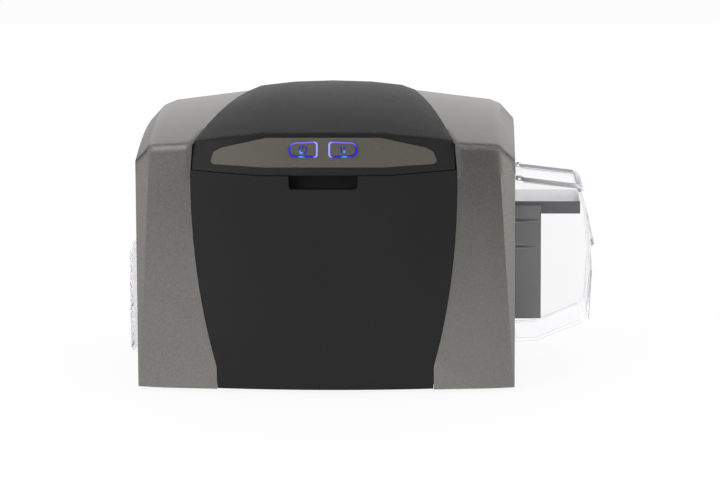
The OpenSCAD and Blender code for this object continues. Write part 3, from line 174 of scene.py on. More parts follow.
def build_fine_grain():
    """Spark-eroded grain and a slow drift of tone: a colour, a roughness and a height."""
    tree = bpy.data.node_groups.new("Fine Grain", "ShaderNodeTree")
    socket(tree, "Vector", "INPUT", "NodeSocketVector")
    socket(tree, "Grain Scale", "INPUT", value=2600.0)
    socket(tree, "Drift Scale", "INPUT", value=14.0)
    socket(tree, "Base", "INPUT", "NodeSocketColor", (0.5, 0.5, 0.5, 1.0))
    socket(tree, "Contrast", "INPUT", value=0.12)
    socket(tree, "Roughness", "INPUT", value=0.5)
    socket(tree, "Color", "OUTPUT", "NodeSocketColor")
    socket(tree, "Roughness", "OUTPUT")
    socket(tree, "Height", "OUTPUT")
    n = tree.nodes
    gin, gout = n.new("NodeGroupInput"), n.new("NodeGroupOutput")
    grain = n.new("ShaderNodeTexNoise")
    grain.inputs["Detail"].default_value = 2.0
    drift = n.new("ShaderNodeTexNoise")
    drift.inputs["Detail"].default_value = 3.0
    for tex, scale in ((grain, "Grain Scale"), (drift, "Drift Scale")):
        link(tree, gin.outputs["Vector"], tex.inputs["Vector"])
        link(tree, gin.outputs[scale], tex.inputs["Scale"])
    mixed = n.new("ShaderNodeMath")
    mixed.operation = "MULTIPLY_ADD"
    link(tree, drift.outputs["Fac"], mixed.inputs[0])
    mixed.inputs[1].default_value = 0.5
    link(tree, grain.outputs["Fac"], mixed.inputs[2])
    centred = n.new("ShaderNodeMath")
    centred.operation = "SUBTRACT"
    link(tree, mixed.outputs[0], centred.inputs[0])
    centred.inputs[1].default_value = 0.75
    scaled = n.new("ShaderNodeMath")
    scaled.operation = "MULTIPLY_ADD"
    link(tree, centred.outputs[0], scaled.inputs[0])
    link(tree, gin.outputs["Contrast"], scaled.inputs[1])
    scaled.inputs[2].default_value = 1.0
    tint = n.new("ShaderNodeVectorMath")
    tint.operation = "SCALE"
    link(tree, gin.outputs["Base"], tint.inputs[0])
    link(tree, scaled.outputs[0], tint.inputs["Scale"])
    rough = n.new("ShaderNodeMath")
    rough.operation = "MULTIPLY"
    link(tree, gin.outputs["Roughness"], rough.inputs[0])
    link(tree, scaled.outputs[0], rough.inputs[1])
    link(tree, tint.outputs[0], gout.inputs["Color"])
    link(tree, rough.outputs[0], gout.inputs["Roughness"])
    link(tree, grain.outputs["Fac"], gout.inputs["Height"])
    return tree


def build_dust():
    """A thin settled dust on faces that look up: a mask from the normal and a slow noise."""
    tree = bpy.data.node_groups.new("Settled Dust", "ShaderNodeTree")
    socket(tree, "Vector", "INPUT", "NodeSocketVector")
    socket(tree, "Amount", "INPUT", value=0.1)
    socket(tree, "Color In", "INPUT", "NodeSocketColor", (0.5, 0.5, 0.5, 1.0))
    socket(tree, "Color", "OUTPUT", "NodeSocketColor")
    n = tree.nodes
    gin, gout = n.new("NodeGroupInput"), n.new("NodeGroupOutput")
    noise = n.new("ShaderNodeTexNoise")
    noise.inputs["Scale"].default_value = 60.0
    noise.inputs["Detail"].default_value = 4.0
    link(tree, gin.outputs["Vector"], noise.inputs["Vector"])
    geo = n.new("ShaderNodeNewGeometry")
    split = n.new("ShaderNodeSeparateXYZ")
    link(tree, geo.outputs["Normal"], split.inputs[0])
    up = n.new("ShaderNodeMath")
    up.operation = "MAXIMUM"
    link(tree, split.outputs["Z"], up.inputs[0])
    up.inputs[1].default_value = 0.0
    mask = n.new("ShaderNodeMath")
    mask.operation = "MULTIPLY"
    link(tree, up.outputs[0], mask.inputs[0])
    link(tree, noise.outputs["Fac"], mask.inputs[1])
    amount = n.new("ShaderNodeMath")
    amount.operation = "MULTIPLY"
    link(tree, mask.outputs[0], amount.inputs[0])
    link(tree, gin.outputs["Amount"], amount.inputs[1])
    blend = n.new("ShaderNodeMix")
    blend.data_type = "RGBA"
    link(tree, amount.outputs[0], blend.inputs["Factor"])
    link(tree, gin.outputs["Color In"], blend.inputs["A"])
    blend.inputs["B"].default_value = (0.35, 0.33, 0.3, 1.0)
    link(tree, blend.outputs["Result"], gout.inputs["Color"])
    return tree


GROUPS = {}


def group(name):
    if name not in GROUPS:
        GROUPS[name] = {"grain": build_fine_grain, "dust": build_dust}[name]()
    return GROUPS[name]


# ---------------------------------------------------------------- materials

def new_material(name):
    made = bpy.data.materials.new(name)
    made.use_nodes = True
    tree = made.node_tree
    shader = tree.nodes["Principled BSDF"]
    coords = tree.nodes.new("ShaderNodeTexCoord")
    return made, tree, shader, coords.outputs["Object"]


def soft_crease(tree, where, radius, above, before=CREASE_DEPTH):
    """A normal that is rounded over the edges above one height and before one depth."""
    rounded = tree.nodes.new("ShaderNodeBevel")
    rounded.samples = 6
    rounded.inputs["Radius"].default_value = radius
    split = tree.nodes.new("ShaderNodeSeparateXYZ")
    link(tree, where, split.inputs[0])
    both = tree.nodes.new("ShaderNodeMath")
    both.operation = "MULTIPLY"
    link(tree, ramp_mask(tree, split.outputs["Z"], above, above + CREASE_FADE),
         both.inputs[0])
    link(tree, ramp_mask(tree, split.outputs["Y"], before + CREASE_FADE, before),
         both.inputs[1])
    flat = tree.nodes.new("ShaderNodeNewGeometry")
    mix = tree.nodes.new("ShaderNodeMix")
    mix.data_type = "VECTOR"
    link(tree, both.outputs[0], mix.inputs["Factor"])
    link(tree, flat.outputs["Normal"], mix.inputs["A"])
    link(tree, rounded.outputs["Normal"], mix.inputs["B"])
    return mix.outputs["Result"]


def grained(name, colour, rough, metallic=0.0, grain=2600.0, contrast=0.12, bump=0.15,
            depth=0.00006, drift=14.0, dust=0.0, coat=0.0, specular=0.5, crease=None):
    """Any solid finish: a base colour with fine grain, a slow drift of tone, dust and a bump."""
    made, tree, shader, where = new_material(name)
    g = tree.nodes.new("ShaderNodeGroup")
    g.node_tree = group("grain")
    link(tree, where, g.inputs["Vector"])
    g.inputs["Grain Scale"].default_value = grain
    g.inputs["Drift Scale"].default_value = drift
    g.inputs["Base"].default_value = (*colour, 1.0)
    g.inputs["Contrast"].default_value = contrast
    g.inputs["Roughness"].default_value = rough
    out = g.outputs["Color"]
    if dust:
        d = tree.nodes.new("ShaderNodeGroup")
        d.node_tree = group("dust")
        link(tree, where, d.inputs["Vector"])
        d.inputs["Amount"].default_value = dust
        link(tree, out, d.inputs["Color In"])
        out = d.outputs["Color"]
    link(tree, out, shader.inputs["Base Color"])
    link(tree, g.outputs["Roughness"], shader.inputs["Roughness"])
    shader.inputs["Metallic"].default_value = metallic
    shader.inputs["Specular IOR Level"].default_value = specular
    if coat:
        shader.inputs["Coat Weight"].default_value = coat
        shader.inputs["Coat Roughness"].default_value = 0.2
    if bump:
        b = tree.nodes.new("ShaderNodeBump")
        b.inputs["Strength"].default_value = bump
        b.inputs["Distance"].default_value = depth
        link(tree, g.outputs["Height"], b.inputs["Height"])
        if crease:
            link(tree, soft_crease(tree, where, *crease), b.inputs["Normal"])
        link(tree, b.outputs["Normal"], shader.inputs["Normal"])
    return made


def brushed(name, colour, rough, axis=1, metallic=1.0):
    """Turned or drawn metal: fine lines along one axis."""
    made, tree, shader, where = new_material(name)
    stretch = tree.nodes.new("ShaderNodeMapping")
    scale = [1800.0, 1800.0, 1800.0]
    scale[axis] = 40.0
    stretch.inputs["Scale"].default_value = scale
    link(tree, where, stretch.inputs["Vector"])
    lines = tree.nodes.new("ShaderNodeTexNoise")
    lines.inputs["Scale"].default_value = 1.0
    lines.inputs["Detail"].default_value = 3.0
    link(tree, stretch.outputs["Vector"], lines.inputs["Vector"])
    ramp = tree.nodes.new("ShaderNodeMapRange")
    ramp.inputs["To Min"].default_value = rough * 0.8
    ramp.inputs["To Max"].default_value = rough * 1.25
    link(tree, lines.outputs["Fac"], ramp.inputs["Value"])
    link(tree, ramp.outputs["Result"], shader.inputs["Roughness"])
    tone = tree.nodes.new("ShaderNodeMix")
    tone.data_type = "RGBA"
    tone.inputs["A"].default_value = (*[c * 0.85 for c in colour], 1.0)
    tone.inputs["B"].default_value = (*[min(1.0, c * 1.12) for c in colour], 1.0)
    link(tree, lines.outputs["Fac"], tone.inputs["Factor"])
    link(tree, tone.outputs["Result"], shader.inputs["Base Color"])
    shader.inputs["Metallic"].default_value = metallic
    return made


def clear(name, colour, grazing_shade_colour, rough=0.03, ior=1.01, density=3.0, passing=1.0):
    """Clear moulded plastic: a painted shade darkens its colour at grazing angles, and it darkens
    through its thick edges.
    """
    made, tree, shader, where = new_material(name)
    flow = tree.nodes.new("ShaderNodeTexNoise")
    flow.inputs["Scale"].default_value = 30.0
    flow.inputs["Detail"].default_value = 1.0
    link(tree, where, flow.inputs["Vector"])
    haze = tree.nodes.new("ShaderNodeMapRange")
    haze.inputs["To Min"].default_value = rough * 0.6
    haze.inputs["To Max"].default_value = rough * 1.6
    link(tree, flow.outputs["Fac"], haze.inputs["Value"])
    link(tree, haze.outputs["Result"], shader.inputs["Roughness"])
    # Painted shade: the colour turns to the second, darker colour at grazing angles.
    rim = tree.nodes.new("ShaderNodeLayerWeight")
    rim.inputs["Blend"].default_value = 0.25
    tone = tree.nodes.new("ShaderNodeMix")
    tone.data_type = "RGBA"
    tone.inputs["A"].default_value = (*colour, 1.0)
    tone.inputs["B"].default_value = (*grazing_shade_colour, 1.0)
    link(tree, rim.outputs["Facing"], tone.inputs["Factor"])
    link(tree, tone.outputs["Result"], shader.inputs["Base Color"])
    shader.inputs["IOR"].default_value = ior
    shader.inputs["Transmission Weight"].default_value = passing
    shader.inputs["Coat Weight"].default_value = 0.12
    shader.inputs["Coat Roughness"].default_value = rough
    body = tree.nodes.new("ShaderNodeVolumeAbsorption")
    body.inputs["Color"].default_value = (0.45, 0.45, 0.49, 1.0)
    body.inputs["Density"].default_value = density
    link(tree, body.outputs["Volume"], tree.nodes["Material Output"].inputs["Volume"])
    return made


def spot_mask(tree, across, height, x, z, half_w, half_h):
    """One at the point (x, z), falling to nothing at half_w beside it and half_h above it."""
    near = tree.nodes.new("ShaderNodeVectorMath")
    near.operation = "LENGTH"
    place = tree.nodes.new("ShaderNodeCombineXYZ")
    for source, middle, half, way in ((across, x, half_w, "X"), (height, z, half_h, "Y")):
        shift = tree.nodes.new("ShaderNodeMapRange")
        shift.clamp = False
        shift.inputs["From Min"].default_value = middle
        shift.inputs["From Max"].default_value = middle + half
        link(tree, source, shift.inputs["Value"])
        link(tree, shift.outputs["Result"], place.inputs[way])
    link(tree, place.outputs["Vector"], near.inputs[0])
    fall = tree.nodes.new("ShaderNodeMapRange")
    fall.interpolation_type = "SMOOTHSTEP"
    fall.inputs["From Min"].default_value = 1.0
    fall.inputs["From Max"].default_value = 0.0
    link(tree, near.outputs["Value"], fall.inputs["Value"])
    return fall.outputs["Result"]


def ramp_mask(tree, source, start, end, top=1.0):
    """Nothing at start, rising to top at end."""
    ramp = tree.nodes.new("ShaderNodeMapRange")
    ramp.inputs["From Min"].default_value = start
    ramp.inputs["From Max"].default_value = end
    ramp.inputs["To Max"].default_value = top
    link(tree, source, ramp.inputs["Value"])
    return ramp.outputs["Result"]


def button_coordinates(tree, where):
    """The distance from the middle line between the two buttons, and the height."""
    split = tree.nodes.new("ShaderNodeSeparateXYZ")
    link(tree, where, split.inputs[0])
    shift = tree.nodes.new("ShaderNodeMath")
    shift.operation = "SUBTRACT"
    shift.inputs[1].default_value = BODY_X
    link(tree, split.outputs["X"], shift.inputs[0])
    across = tree.nodes.new("ShaderNodeMath")
    across.operation = "ABSOLUTE"
    link(tree, shift.outputs[0], across.inputs[0])
    return across.outputs[0], split.outputs["Z"]


def lit(name, base, layers, strength):
    """Light coming through plastic: a base colour, and further colours laid over it by masks."""
    made, tree, shader, where = new_material(name)
    across, height = button_coordinates(tree, where)
    tone = None
    for colour, mask in layers:
        mix = tree.nodes.new("ShaderNodeMix")
        mix.data_type = "RGBA"
        if tone is None:
            mix.inputs["A"].default_value = (*base, 1.0)
        else:
            link(tree, tone, mix.inputs["A"])
        mix.inputs["B"].default_value = (*colour, 1.0)
        link(tree, mask(tree, across, height), mix.inputs["Factor"])
        tone = mix.outputs["Result"]
    link(tree, tone, shader.inputs["Emission Color"])
    shader.inputs["Base Color"].default_value = (0.02, 0.02, 0.12, 1.0)
    shader.inputs["Emission Strength"].default_value = strength
    shader.inputs["Roughness"].default_value = 0.3
    return made


MATERIALS = {}


def material(name):
    return MATERIALS[name]


def make_materials():
    c = bpy.context.scene.printer_colours
    radius = bpy.context.scene.printer_sizes.crease_radius
    M = MATERIALS
    M["silver"] = grained("silver_paint", c.silver, 0.36, metallic=0.9, grain=900.0,
                          contrast=0.6, bump=0.35, depth=0.00012, drift=9.0, specular=0.3,
                          crease=(radius, SIDE_CREASE))
    M["black"] = grained("black_plastic", c.black, 0.5, grain=900.0, contrast=0.5, bump=0.3,
                         depth=0.0001, dust=0.02, specular=0.2,
                         crease=(radius, TOP_CREASE))
    M["pewter"] = grained("pewter_paint", c.pewter, 0.45, metallic=0.1, grain=1100.0,
                          contrast=0.45, bump=0.2, depth=0.00006, specular=0.3)
    # Lighter copies of the silver, black and pewter finishes for the rounded edges: a painted
    # highlight along the covers' corners, the door's edges and the panel's bevel.
    M["silver_painted_highlight"] = grained("silver_paint_painted_highlight", [1.45 * v for v in c.silver], 0.3,
                               metallic=0.9, grain=900.0, contrast=0.3, bump=0.1)
    M["black_painted_highlight"] = grained("black_plastic_painted_highlight", [2.2 * v for v in c.black], 0.35,
                              grain=900.0, contrast=0.3, specular=0.5)
    M["pewter_painted_highlight"] = grained("pewter_paint_painted_highlight", [2.4 * v for v in c.pewter], 0.35,
                               metallic=0.2, grain=1100.0, contrast=0.3, bump=0.1)
    M["grey"] = grained("guide_grey", c.grey, 0.5, grain=1500.0, contrast=0.15, bump=0.15)
    M["tray"] = grained("tray_grey", c.tray, 0.28, grain=1500.0, contrast=0.15, bump=0.04,
                        coat=0.1)
    M["dark"] = grained("dark_plastic", (0.028, 0.028, 0.03), 0.55, grain=1500.0, contrast=0.3)
    M["cartridge"] = grained("cartridge_plastic", (0.09, 0.09, 0.095), 0.45, contrast=0.2)
    M["acetal"] = grained("white_acetal", (0.62, 0.6, 0.54), 0.38, contrast=0.06, bump=0.05)
    M["rubber"] = grained("ground_rubber", (0.022, 0.022, 0.024), 0.75, grain=3000.0,
                          contrast=0.4, bump=0.35, depth=0.0001)
    M["feet"] = grained("soft_rubber", (0.02, 0.02, 0.02), 0.8, contrast=0.3, bump=0.2)
    M["cleaner"] = grained("tacky_blue_rubber", (0.04, 0.14, 0.36), 0.3, contrast=0.1, coat=0.3)
    M["steel"] = brushed("bright_steel", (0.56, 0.56, 0.56), 0.28)
    M["sheet"] = brushed("zinc_sheet", (0.46, 0.46, 0.45), 0.38, axis=0)
    M["bronze"] = brushed("sintered_bronze", (0.5, 0.33, 0.15), 0.42)
    M["port"] = brushed("plated_shell", (0.3, 0.3, 0.31), 0.5, axis=0)
    M["brass"] = brushed("turned_brass", (0.68, 0.49, 0.2), 0.3)
    M["can"] = brushed("motor_can", (0.3, 0.3, 0.31), 0.4, axis=2)
    M["film"] = grained("dye_film", (0.2, 0.03, 0.12), 0.25, contrast=0.1, bump=0.0, coat=0.5)
    M["roll"] = brushed("wound_film", (0.16, 0.05, 0.03), 0.35, axis=0, metallic=0.0)
    M["board"] = grained("circuit_board", (0.012, 0.09, 0.035), 0.35, grain=500.0,
                         contrast=0.5, bump=0.1, coat=0.3)
    # The second colour of each clear finish is the painted shade at grazing angles.
    M["clear"] = clear("clear_plastic", (0.985, 0.985, 0.987), (0.92, 0.92, 0.95),
                       passing=0.98)
    M["clear_bin"] = clear("clear_bin_plastic", (0.97, 0.97, 0.975), (0.92, 0.92, 0.95),
                           rough=0.08, density=2.0, passing=0.94)
    # The rim, line and glint copies below: the greyer rims and the darker corner lines are painted
    # shade, and the pale, nearly opaque copy for the tongues before the guide is a painted glint.
    M["clear_edge"] = clear("clear_plastic_painted_rim_shade", (0.86, 0.86, 0.89), (0.8, 0.8, 0.84),
                            rough=0.15, passing=0.85)
    M["clear_painted_shade_line"] = clear("clear_plastic_painted_shade_line", (0.25, 0.25, 0.27), (0.22, 0.22, 0.24),
                            rough=0.2, passing=0.5)
    M["clear_painted_glint"] = clear("clear_plastic_painted_glint", (0.85, 0.85, 0.86), (0.85, 0.85, 0.86),
                             rough=0.2, passing=0.1)
    place, _ = button_face("power_button")
    middle = abs(place.x - BODY_X)
    M["light"] = lit("lit_rim", c.light, (
        (c.light_pale, lambda t, x, z: ramp_mask(t, z, place.z + 0.001, place.z + 0.0058, 0.45)),
        (c.light_pale, lambda t, x, z: ramp_mask(t, x, middle - 0.0070, middle - 0.0096, 0.9)),
        (c.light_hot, lambda t, x, z: spot_mask(t, x, z, middle + 0.0013, place.z - 0.0056,
                                                0.0034, 0.0016)),
    ), 1.0)
    M["sign"] = lit("lit_sign", c.sign, (
        (c.light_hot, lambda t, x, z: spot_mask(t, x, z, middle + 0.0014, place.z - 0.0020,
                                                0.0026, 0.0026)),
    ), 1.0)


NODE_FINISH = {
    "dark": ["base_pan", "rear_panel", "fan_housing", "fan_rotor", "power_inlet", "printhead"],
    "feet": ["feet"],
    "steel": ["door_pins", "platen_shaft", "feed_shaft", "exit_shaft", "pick_shaft",
              "feed_pinch_roller", "exit_pinch_roller", "take_up_spindle", "tray_spring",
              "head_spring", "cover_screws"],
    "sheet": ["front_frame", "rear_frame", "head_arm"],
    "port": ["usb_port"],
    "bronze": ["shaft_bushes"],
    "brass": ["motor_pinion"],
    "can": ["drive_motor", "ribbon_motor"],
    "acetal": ["platen_gear", "feed_gear", "exit_gear", "pick_gear", "feed_idler_gear",
               "exit_idler_gear"],
    "rubber": ["platen_roller", "feed_roller", "exit_roller", "pick_roller"],
    "cleaner": ["cleaning_roller"],
    "cartridge": ["cartridge_frame"],
    "roll": ["supply_spool", "take_up_spool"],
    "film": ["ribbon_film"],
    "board": ["main_board", "control_board"],
    "silver": ["left_cover", "right_cover"],
    "black": ["top_cover", "front_door", "door_grip"],
    "pewter": ["control_panel", "power_button", "pause_button"],
    "light": ["light_guides"],
    "grey": ["card_guide"],
    "tray": ["card_tray"],
    "clear": ["hopper_shell", "hopper_lid", "hopper_door"],
    "clear_bin": ["output_bin", "output_flap"],
}


def finish_of(node):
    for name, nodes in NODE_FINISH.items():
        if node in nodes:
            return material(name)
    raise RuntimeError(f"no finish is named for {node}")


# ---------------------------------------------------------------- modelling helpers

def only(obj):
    """Selects one object alone and makes it active."""
    bpy.ops.object.select_all(action="DESELECT")
    obj.select_set(True)
    bpy.context.view_layer.objects.active = obj


def edit(action):
    bpy.ops.object.mode_set(mode="EDIT")
    action()
    bpy.ops.object.mode_set(mode="OBJECT")


def coat_with(obj, mat):
    obj.data.materials.clear()
    obj.data.materials.append(mat)


def apply_modifiers(obj):
    only(obj)
    for mod in list(obj.modifiers):
        bpy.ops.object.modifier_apply(modifier=mod.name)


def bevel(obj, width, steps=2, angle=30.0, slot=-1):
    mod = obj.modifiers.new("edge", "BEVEL")
    mod.material = slot
    mod.width = width
    mod.segments = steps
    mod.limit_method = "ANGLE"
    mod.angle_limit = math.radians(angle)
    mod.use_clamp_overlap = True
    apply_modifiers(obj)


def smooth(obj, angle=30.0):
    """Smooths the small bends and keeps the broad faces flat."""
    only(obj)
    bpy.ops.object.shade_smooth_by_angle(angle=math.radians(angle))
    even = obj.modifiers.new("even", "WEIGHTED_NORMAL")
    even.keep_sharp = True
    even.weight = 100
    apply_modifiers(obj)


def settle(obj):
    """Puts an object's place into its mesh, so that the object sits at the origin."""
    only(obj)
    bpy.ops.object.transform_apply(location=True, rotation=True, scale=True)


def narrow(face, mesh, least, most):
    """True for a face that is between least and most wide."""
    ends = [mesh.vertices[v].co for v in face.vertices]
    longest = max((a - b).length for a, b in zip(ends, ends[1:] + ends[:1]))
    return least < face.area / longest < most


def moulded_copy(node, width, steps=2, angle=30.0, smoothing=28.0, painted_edge_light_and_shade=()):
    """A copy of a CAD node with rounded edges, which stands for it; the first painted finish coats
    the rounded edges: a painted highlight on the covers and the panel, painted shade on the clear
    mouldings."""
    source = NODES[node]
    piece = source.copy()
    piece.data = source.data.copy()
    piece.name = node + "_moulding"
    piece.parent = None
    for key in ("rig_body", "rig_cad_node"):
        if key in piece:
            del piece[key]
    bpy.context.scene.collection.objects.link(piece)
    only(piece)
    if piece.data.has_custom_normals:
        bpy.ops.mesh.customdata_custom_splitnormals_clear()

    def clean():
        bpy.ops.mesh.select_all(action="SELECT")
        bpy.ops.mesh.remove_doubles(threshold=1e-6)
        bpy.ops.mesh.dissolve_limited(angle_limit=math.radians(0.6))

    edit(clean)
    coat_with(piece, finish_of(node))
    for name in painted_edge_light_and_shade:
        piece.data.materials.append(material(name))
    bevel(piece, width, steps, angle, 1 if painted_edge_light_and_shade else -1)
    smooth(piece, smoothing)
    body = source["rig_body"]
    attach(piece, body)
    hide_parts(node)
    return piece


def assign(piece, slot, wanted):
    """Gives the faces that wanted picks the finish in a material slot."""
    only(piece)
    for face in piece.data.polygons:
        face.select = wanted(face)
    bpy.context.tool_settings.mesh_select_mode = (False, False, True)
    piece.active_material_index = slot
    edit(bpy.ops.object.material_slot_assign)


def paint_rim_shade_and_glint(piece, corner):
    """Gives a clear moulding's narrow edge faces a painted rim shade, the tongues before the guide
    a painted glint, and the faces by the hinge and the corner lines by the grip the plain clear
    finish.
    """
    mesh = piece.data
    low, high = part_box("card_guide")

    def rim(face):
        return face.material_index == 0 and narrow(face, mesh, corner, WIDEST_RIM)

    def by_hinge(face):
        x, z = DOOR_HINGE
        return math.hypot(face.center.x - x, face.center.z - z) < HINGE_REACH

    # The tongues' corner lines before the guide take the painted glint.
    def before_guide(face):
        near = face.center.x < high.x and face.center.z < high.z - GUIDE_ABOVE
        return face.material_index == 1 and near and low.z + GUIDE_BELOW < face.center.z

    def by_grip(face):
        inside = (GRIP_ACROSS[0] < face.center.x < GRIP_ACROSS[1]
                  and GRIP_UP[0] < face.center.z < GRIP_UP[1])
        return face.material_index == 1 and inside

    assign(piece, 2, rim)
    assign(piece, 3, before_guide)
    assign(piece, 0, by_hinge)
    assign(piece, 0, by_grip)


def clear_copy(node, width):
    """A clear moulding, with painted shade in darker corner lines and greyer edges, and a painted
    glint on the tongues before the guide.
    """
    piece = moulded_copy(node, width, painted_edge_light_and_shade=("clear_painted_shade_line", "clear_edge", "clear_painted_glint"))
    paint_rim_shade_and_glint(piece, 1.5 * width)


# ---------------------------------------------------------------- operators

class CARDPRINTER_OT_finishes(bpy.types.Operator):
    """Give every piece of the machine its own finish"""
    bl_idname = "card_printer.finishes"
    bl_label = "Finishes"

    def execute(self, context):
        make_materials()
        for node, obj in NODES.items():
            coat_with(obj, finish_of(node))
        return {"FINISHED"}


class CARDPRINTER_OT_covers(bpy.types.Operator):
    """Round the moulded edges of the side covers, the top cover and the door"""
    bl_idname = "card_printer.covers"
    bl_label = "Covers"

    def execute(self, context):
        sizes = context.scene.printer_sizes
        # The side covers' and the door's rounded edges take a lighter copy of their finish: a
        # painted highlight.
        for node in ("left_cover", "right_cover"):
            moulded_copy(node, sizes.cover_edge, smoothing=20.0, painted_edge_light_and_shade=("silver_painted_highlight",))
        moulded_copy("top_cover", sizes.cover_edge)
        moulded_copy("front_door", sizes.cover_edge, painted_edge_light_and_shade=("black_painted_highlight",))
        return {"FINISHED"}


def button_face(node):
    """The middle of a button's face, and the direction that the face looks in."""
    low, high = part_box(node)
    half = BUTTON_HEIGHT / 2
    middle = Vector(((low.x + high.x) / 2, low.y + half * math.sin(PANEL_TILT),
                     high.z - half * math.cos(PANEL_TILT)))
    return middle, Vector((0.0, -math.cos(PANEL_TILT), math.sin(PANEL_TILT)))


def inlay(obj, node, name):
    """Stands a sign made flat at the origin on a button's face, to move with the button."""
    obj.name = name
    place, out = button_face(node)
    obj.matrix_world = (Matrix.Translation(place + out * SIGN_PROUD)
                        @ Matrix.Rotation(math.radians(90.0) - PANEL_TILT, 4, "X"))
    settle(obj)
    coat_with(obj, material("sign"))
    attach(obj, NODES[node]["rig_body"])


def rounded_bar(width, height, middle):
    """An upright bar with softened corners, lying flat with its back just under Z = 0."""
    bpy.ops.object.select_all(action="DESELECT")
    bpy.ops.mesh.primitive_cube_add(size=1.0, location=(*middle, SIGN_SUNK))
    bar = bpy.context.active_object
    bar.scale = (width, height, SIGN_DEEP)
    settle(bar)
    bevel(bar, SIGN_SOFT, 2)
    return bar


def join(parts):
    bpy.ops.object.select_all(action="DESELECT")
    for part in parts:
        part.select_set(True)
    bpy.context.view_layer.objects.active = parts[0]
    bpy.ops.object.join()
    return parts[0]


def power_sign(sizes):
    """A ring, open at its top, with an upright stroke in the opening."""
    radius, stroke = sizes.ring_radius, sizes.sign_stroke
    bpy.ops.object.select_all(action="DESELECT")
    bpy.ops.mesh.primitive_plane_add(size=1.0, location=(0.0, 0.0, 0.0))
    ring = bpy.context.active_object
    ring.rotation_euler = (math.radians(90.0), 0.0, 0.0)
    ring.scale = (stroke, SIGN_DEEP, 1.0)
    ring.location = (0.0, 0.0, SIGN_SUNK)
    settle(ring)

    def sweep():
        bpy.ops.mesh.select_all(action="SELECT")
        bpy.ops.transform.translate(value=(radius, 0.0, 0.0))
        bpy.ops.mesh.select_all(action="SELECT")
        bpy.ops.transform.rotate(value=math.radians(RING_OPENING - 90.0), orient_axis="Z",
                                 center_override=(0.0, 0.0, 0.0))
        bpy.ops.mesh.spin(steps=48, angle=math.radians(360.0 - 2 * RING_OPENING),
                          center=(0.0, 0.0, 0.0), axis=(0.0, 0.0, 1.0))
        bpy.ops.mesh.select_all(action="SELECT")
        bpy.ops.mesh.remove_doubles(threshold=1e-7)
        bpy.ops.mesh.normals_make_consistent(inside=False)

    edit(sweep)
    bevel(ring, SIGN_SOFT, 2)
    height = radius + stroke / 2
    stub = rounded_bar(stroke * STROKE_SHARE, height, (0.0, height / 2 + SIGN_SUNK))
    inlay(join([ring, stub]), "power_button", "power_sign")


def pause_sign(sizes):
    """Two upright bars side by side."""
    step = sizes.sign_stroke * STROKE_SHARE
    bars = [rounded_bar(sizes.sign_stroke, sizes.pause_height, (side * step, 0.0))
            for side in (-1, 1)]
    inlay(join(bars), "pause_button", "pause_sign")


class CARDPRINTER_OT_panel(bpy.types.Operator):
    """Round the control panel and its buttons and inlay their lit signs"""
    bl_idname = "card_printer.panel"
    bl_label = "Control panel"

    def execute(self, context):
        sizes = context.scene.printer_sizes
        # The panel's bevel takes a lighter copy of the pewter: a painted highlight.
        moulded_copy("control_panel", sizes.panel_edge, steps=1, angle=50.0,
                     painted_edge_light_and_shade=("pewter_painted_highlight",))
        for node in ("power_button", "pause_button"):
            moulded_copy(node, sizes.button_edge, steps=3)
        power_sign(sizes)
        pause_sign(sizes)
        return {"FINISHED"}


class CARDPRINTER_OT_hopper(bpy.types.Operator):
    """Round the clear hopper and the grey guide and tray inside it"""
    bl_idname = "card_printer.hopper"
    bl_label = "Card hopper"

    def execute(self, context):
        sizes = context.scene.printer_sizes
        clear_copy("hopper_shell", 2 * sizes.clear_edge)
        for node in ("hopper_lid", "hopper_door"):
            clear_copy(node, sizes.clear_edge)
        for node in ("card_guide", "card_tray"):
            moulded_copy(node, sizes.small_edge)
        return {"FINISHED"}


class CARDPRINTER_OT_bin(bpy.types.Operator):
    """Round the clear output bin and its flap"""
    bl_idname = "card_printer.bin"
    bl_label = "Output bin"

    def execute(self, context):
        edge = context.scene.printer_sizes.clear_edge
        for node in ("output_bin", "output_flap"):
            moulded_copy(node, edge)
        return {"FINISHED"}


CAMERA_TURNS = (2.43754, 9.86560, -0.37703)
CAMERA_PLACE = (BODY_X + 0.111554, -2.1, 0.463401)
FOCAL_PIXELS, PICTURE_PIXELS, SENSOR = 2813.353, 720.0, 36.0


def camera_frame():
    """Where the camera stands and its right, up and back directions."""
    yaw, pitch, roll = (math.radians(a) for a in CAMERA_TURNS)
    ahead = Vector((-math.sin(yaw) * math.cos(pitch), math.cos(yaw) * math.cos(pitch),
                    -math.sin(pitch)))
    flat = Vector((math.cos(yaw), math.sin(yaw), 0.0))
    above = flat.cross(ahead)
    right = math.cos(roll) * flat + math.sin(roll) * above
    up = -math.sin(roll) * flat + math.cos(roll) * above
    return Vector(CAMERA_PLACE), right, up, -ahead


def area_light(name, place, size, power):
    """A soft lamp that looks at the machine."""
    data = bpy.data.lights.new(name, "AREA")
    data.shape = "RECTANGLE"
    data.size, data.size_y = size
    data.energy = power
    lamp = bpy.data.objects.new(name, data)
    lamp.location = place
    aim = LAMPS_LOOK_AT - Vector(place)
    lamp.rotation_euler = aim.to_track_quat("-Z", "Y").to_euler()
    bpy.context.scene.collection.objects.link(lamp)


def calculated(tree, operation, first, second):
    """A math node on two sockets, or on a socket and a number."""
    made = tree.nodes.new("ShaderNodeMath")
    made.operation = operation
    for entry, value in zip(made.inputs, (first, second)):
        if isinstance(value, float):
            entry.default_value = value
        else:
            link(tree, value, entry)
    return made.outputs[0]


def seen_directly(tree):
    """One where the camera sees a surface, bare or through clear plastic, otherwise nothing."""
    path = tree.nodes.new("ShaderNodeLightPath")
    ray = calculated(tree, "MAXIMUM", path.outputs["Is Camera Ray"],
                     path.outputs["Is Transmission Ray"])
    first = calculated(tree, "LESS_THAN", path.outputs["Diffuse Depth"], 0.5)
    return calculated(tree, "MULTIPLY", ray, first)


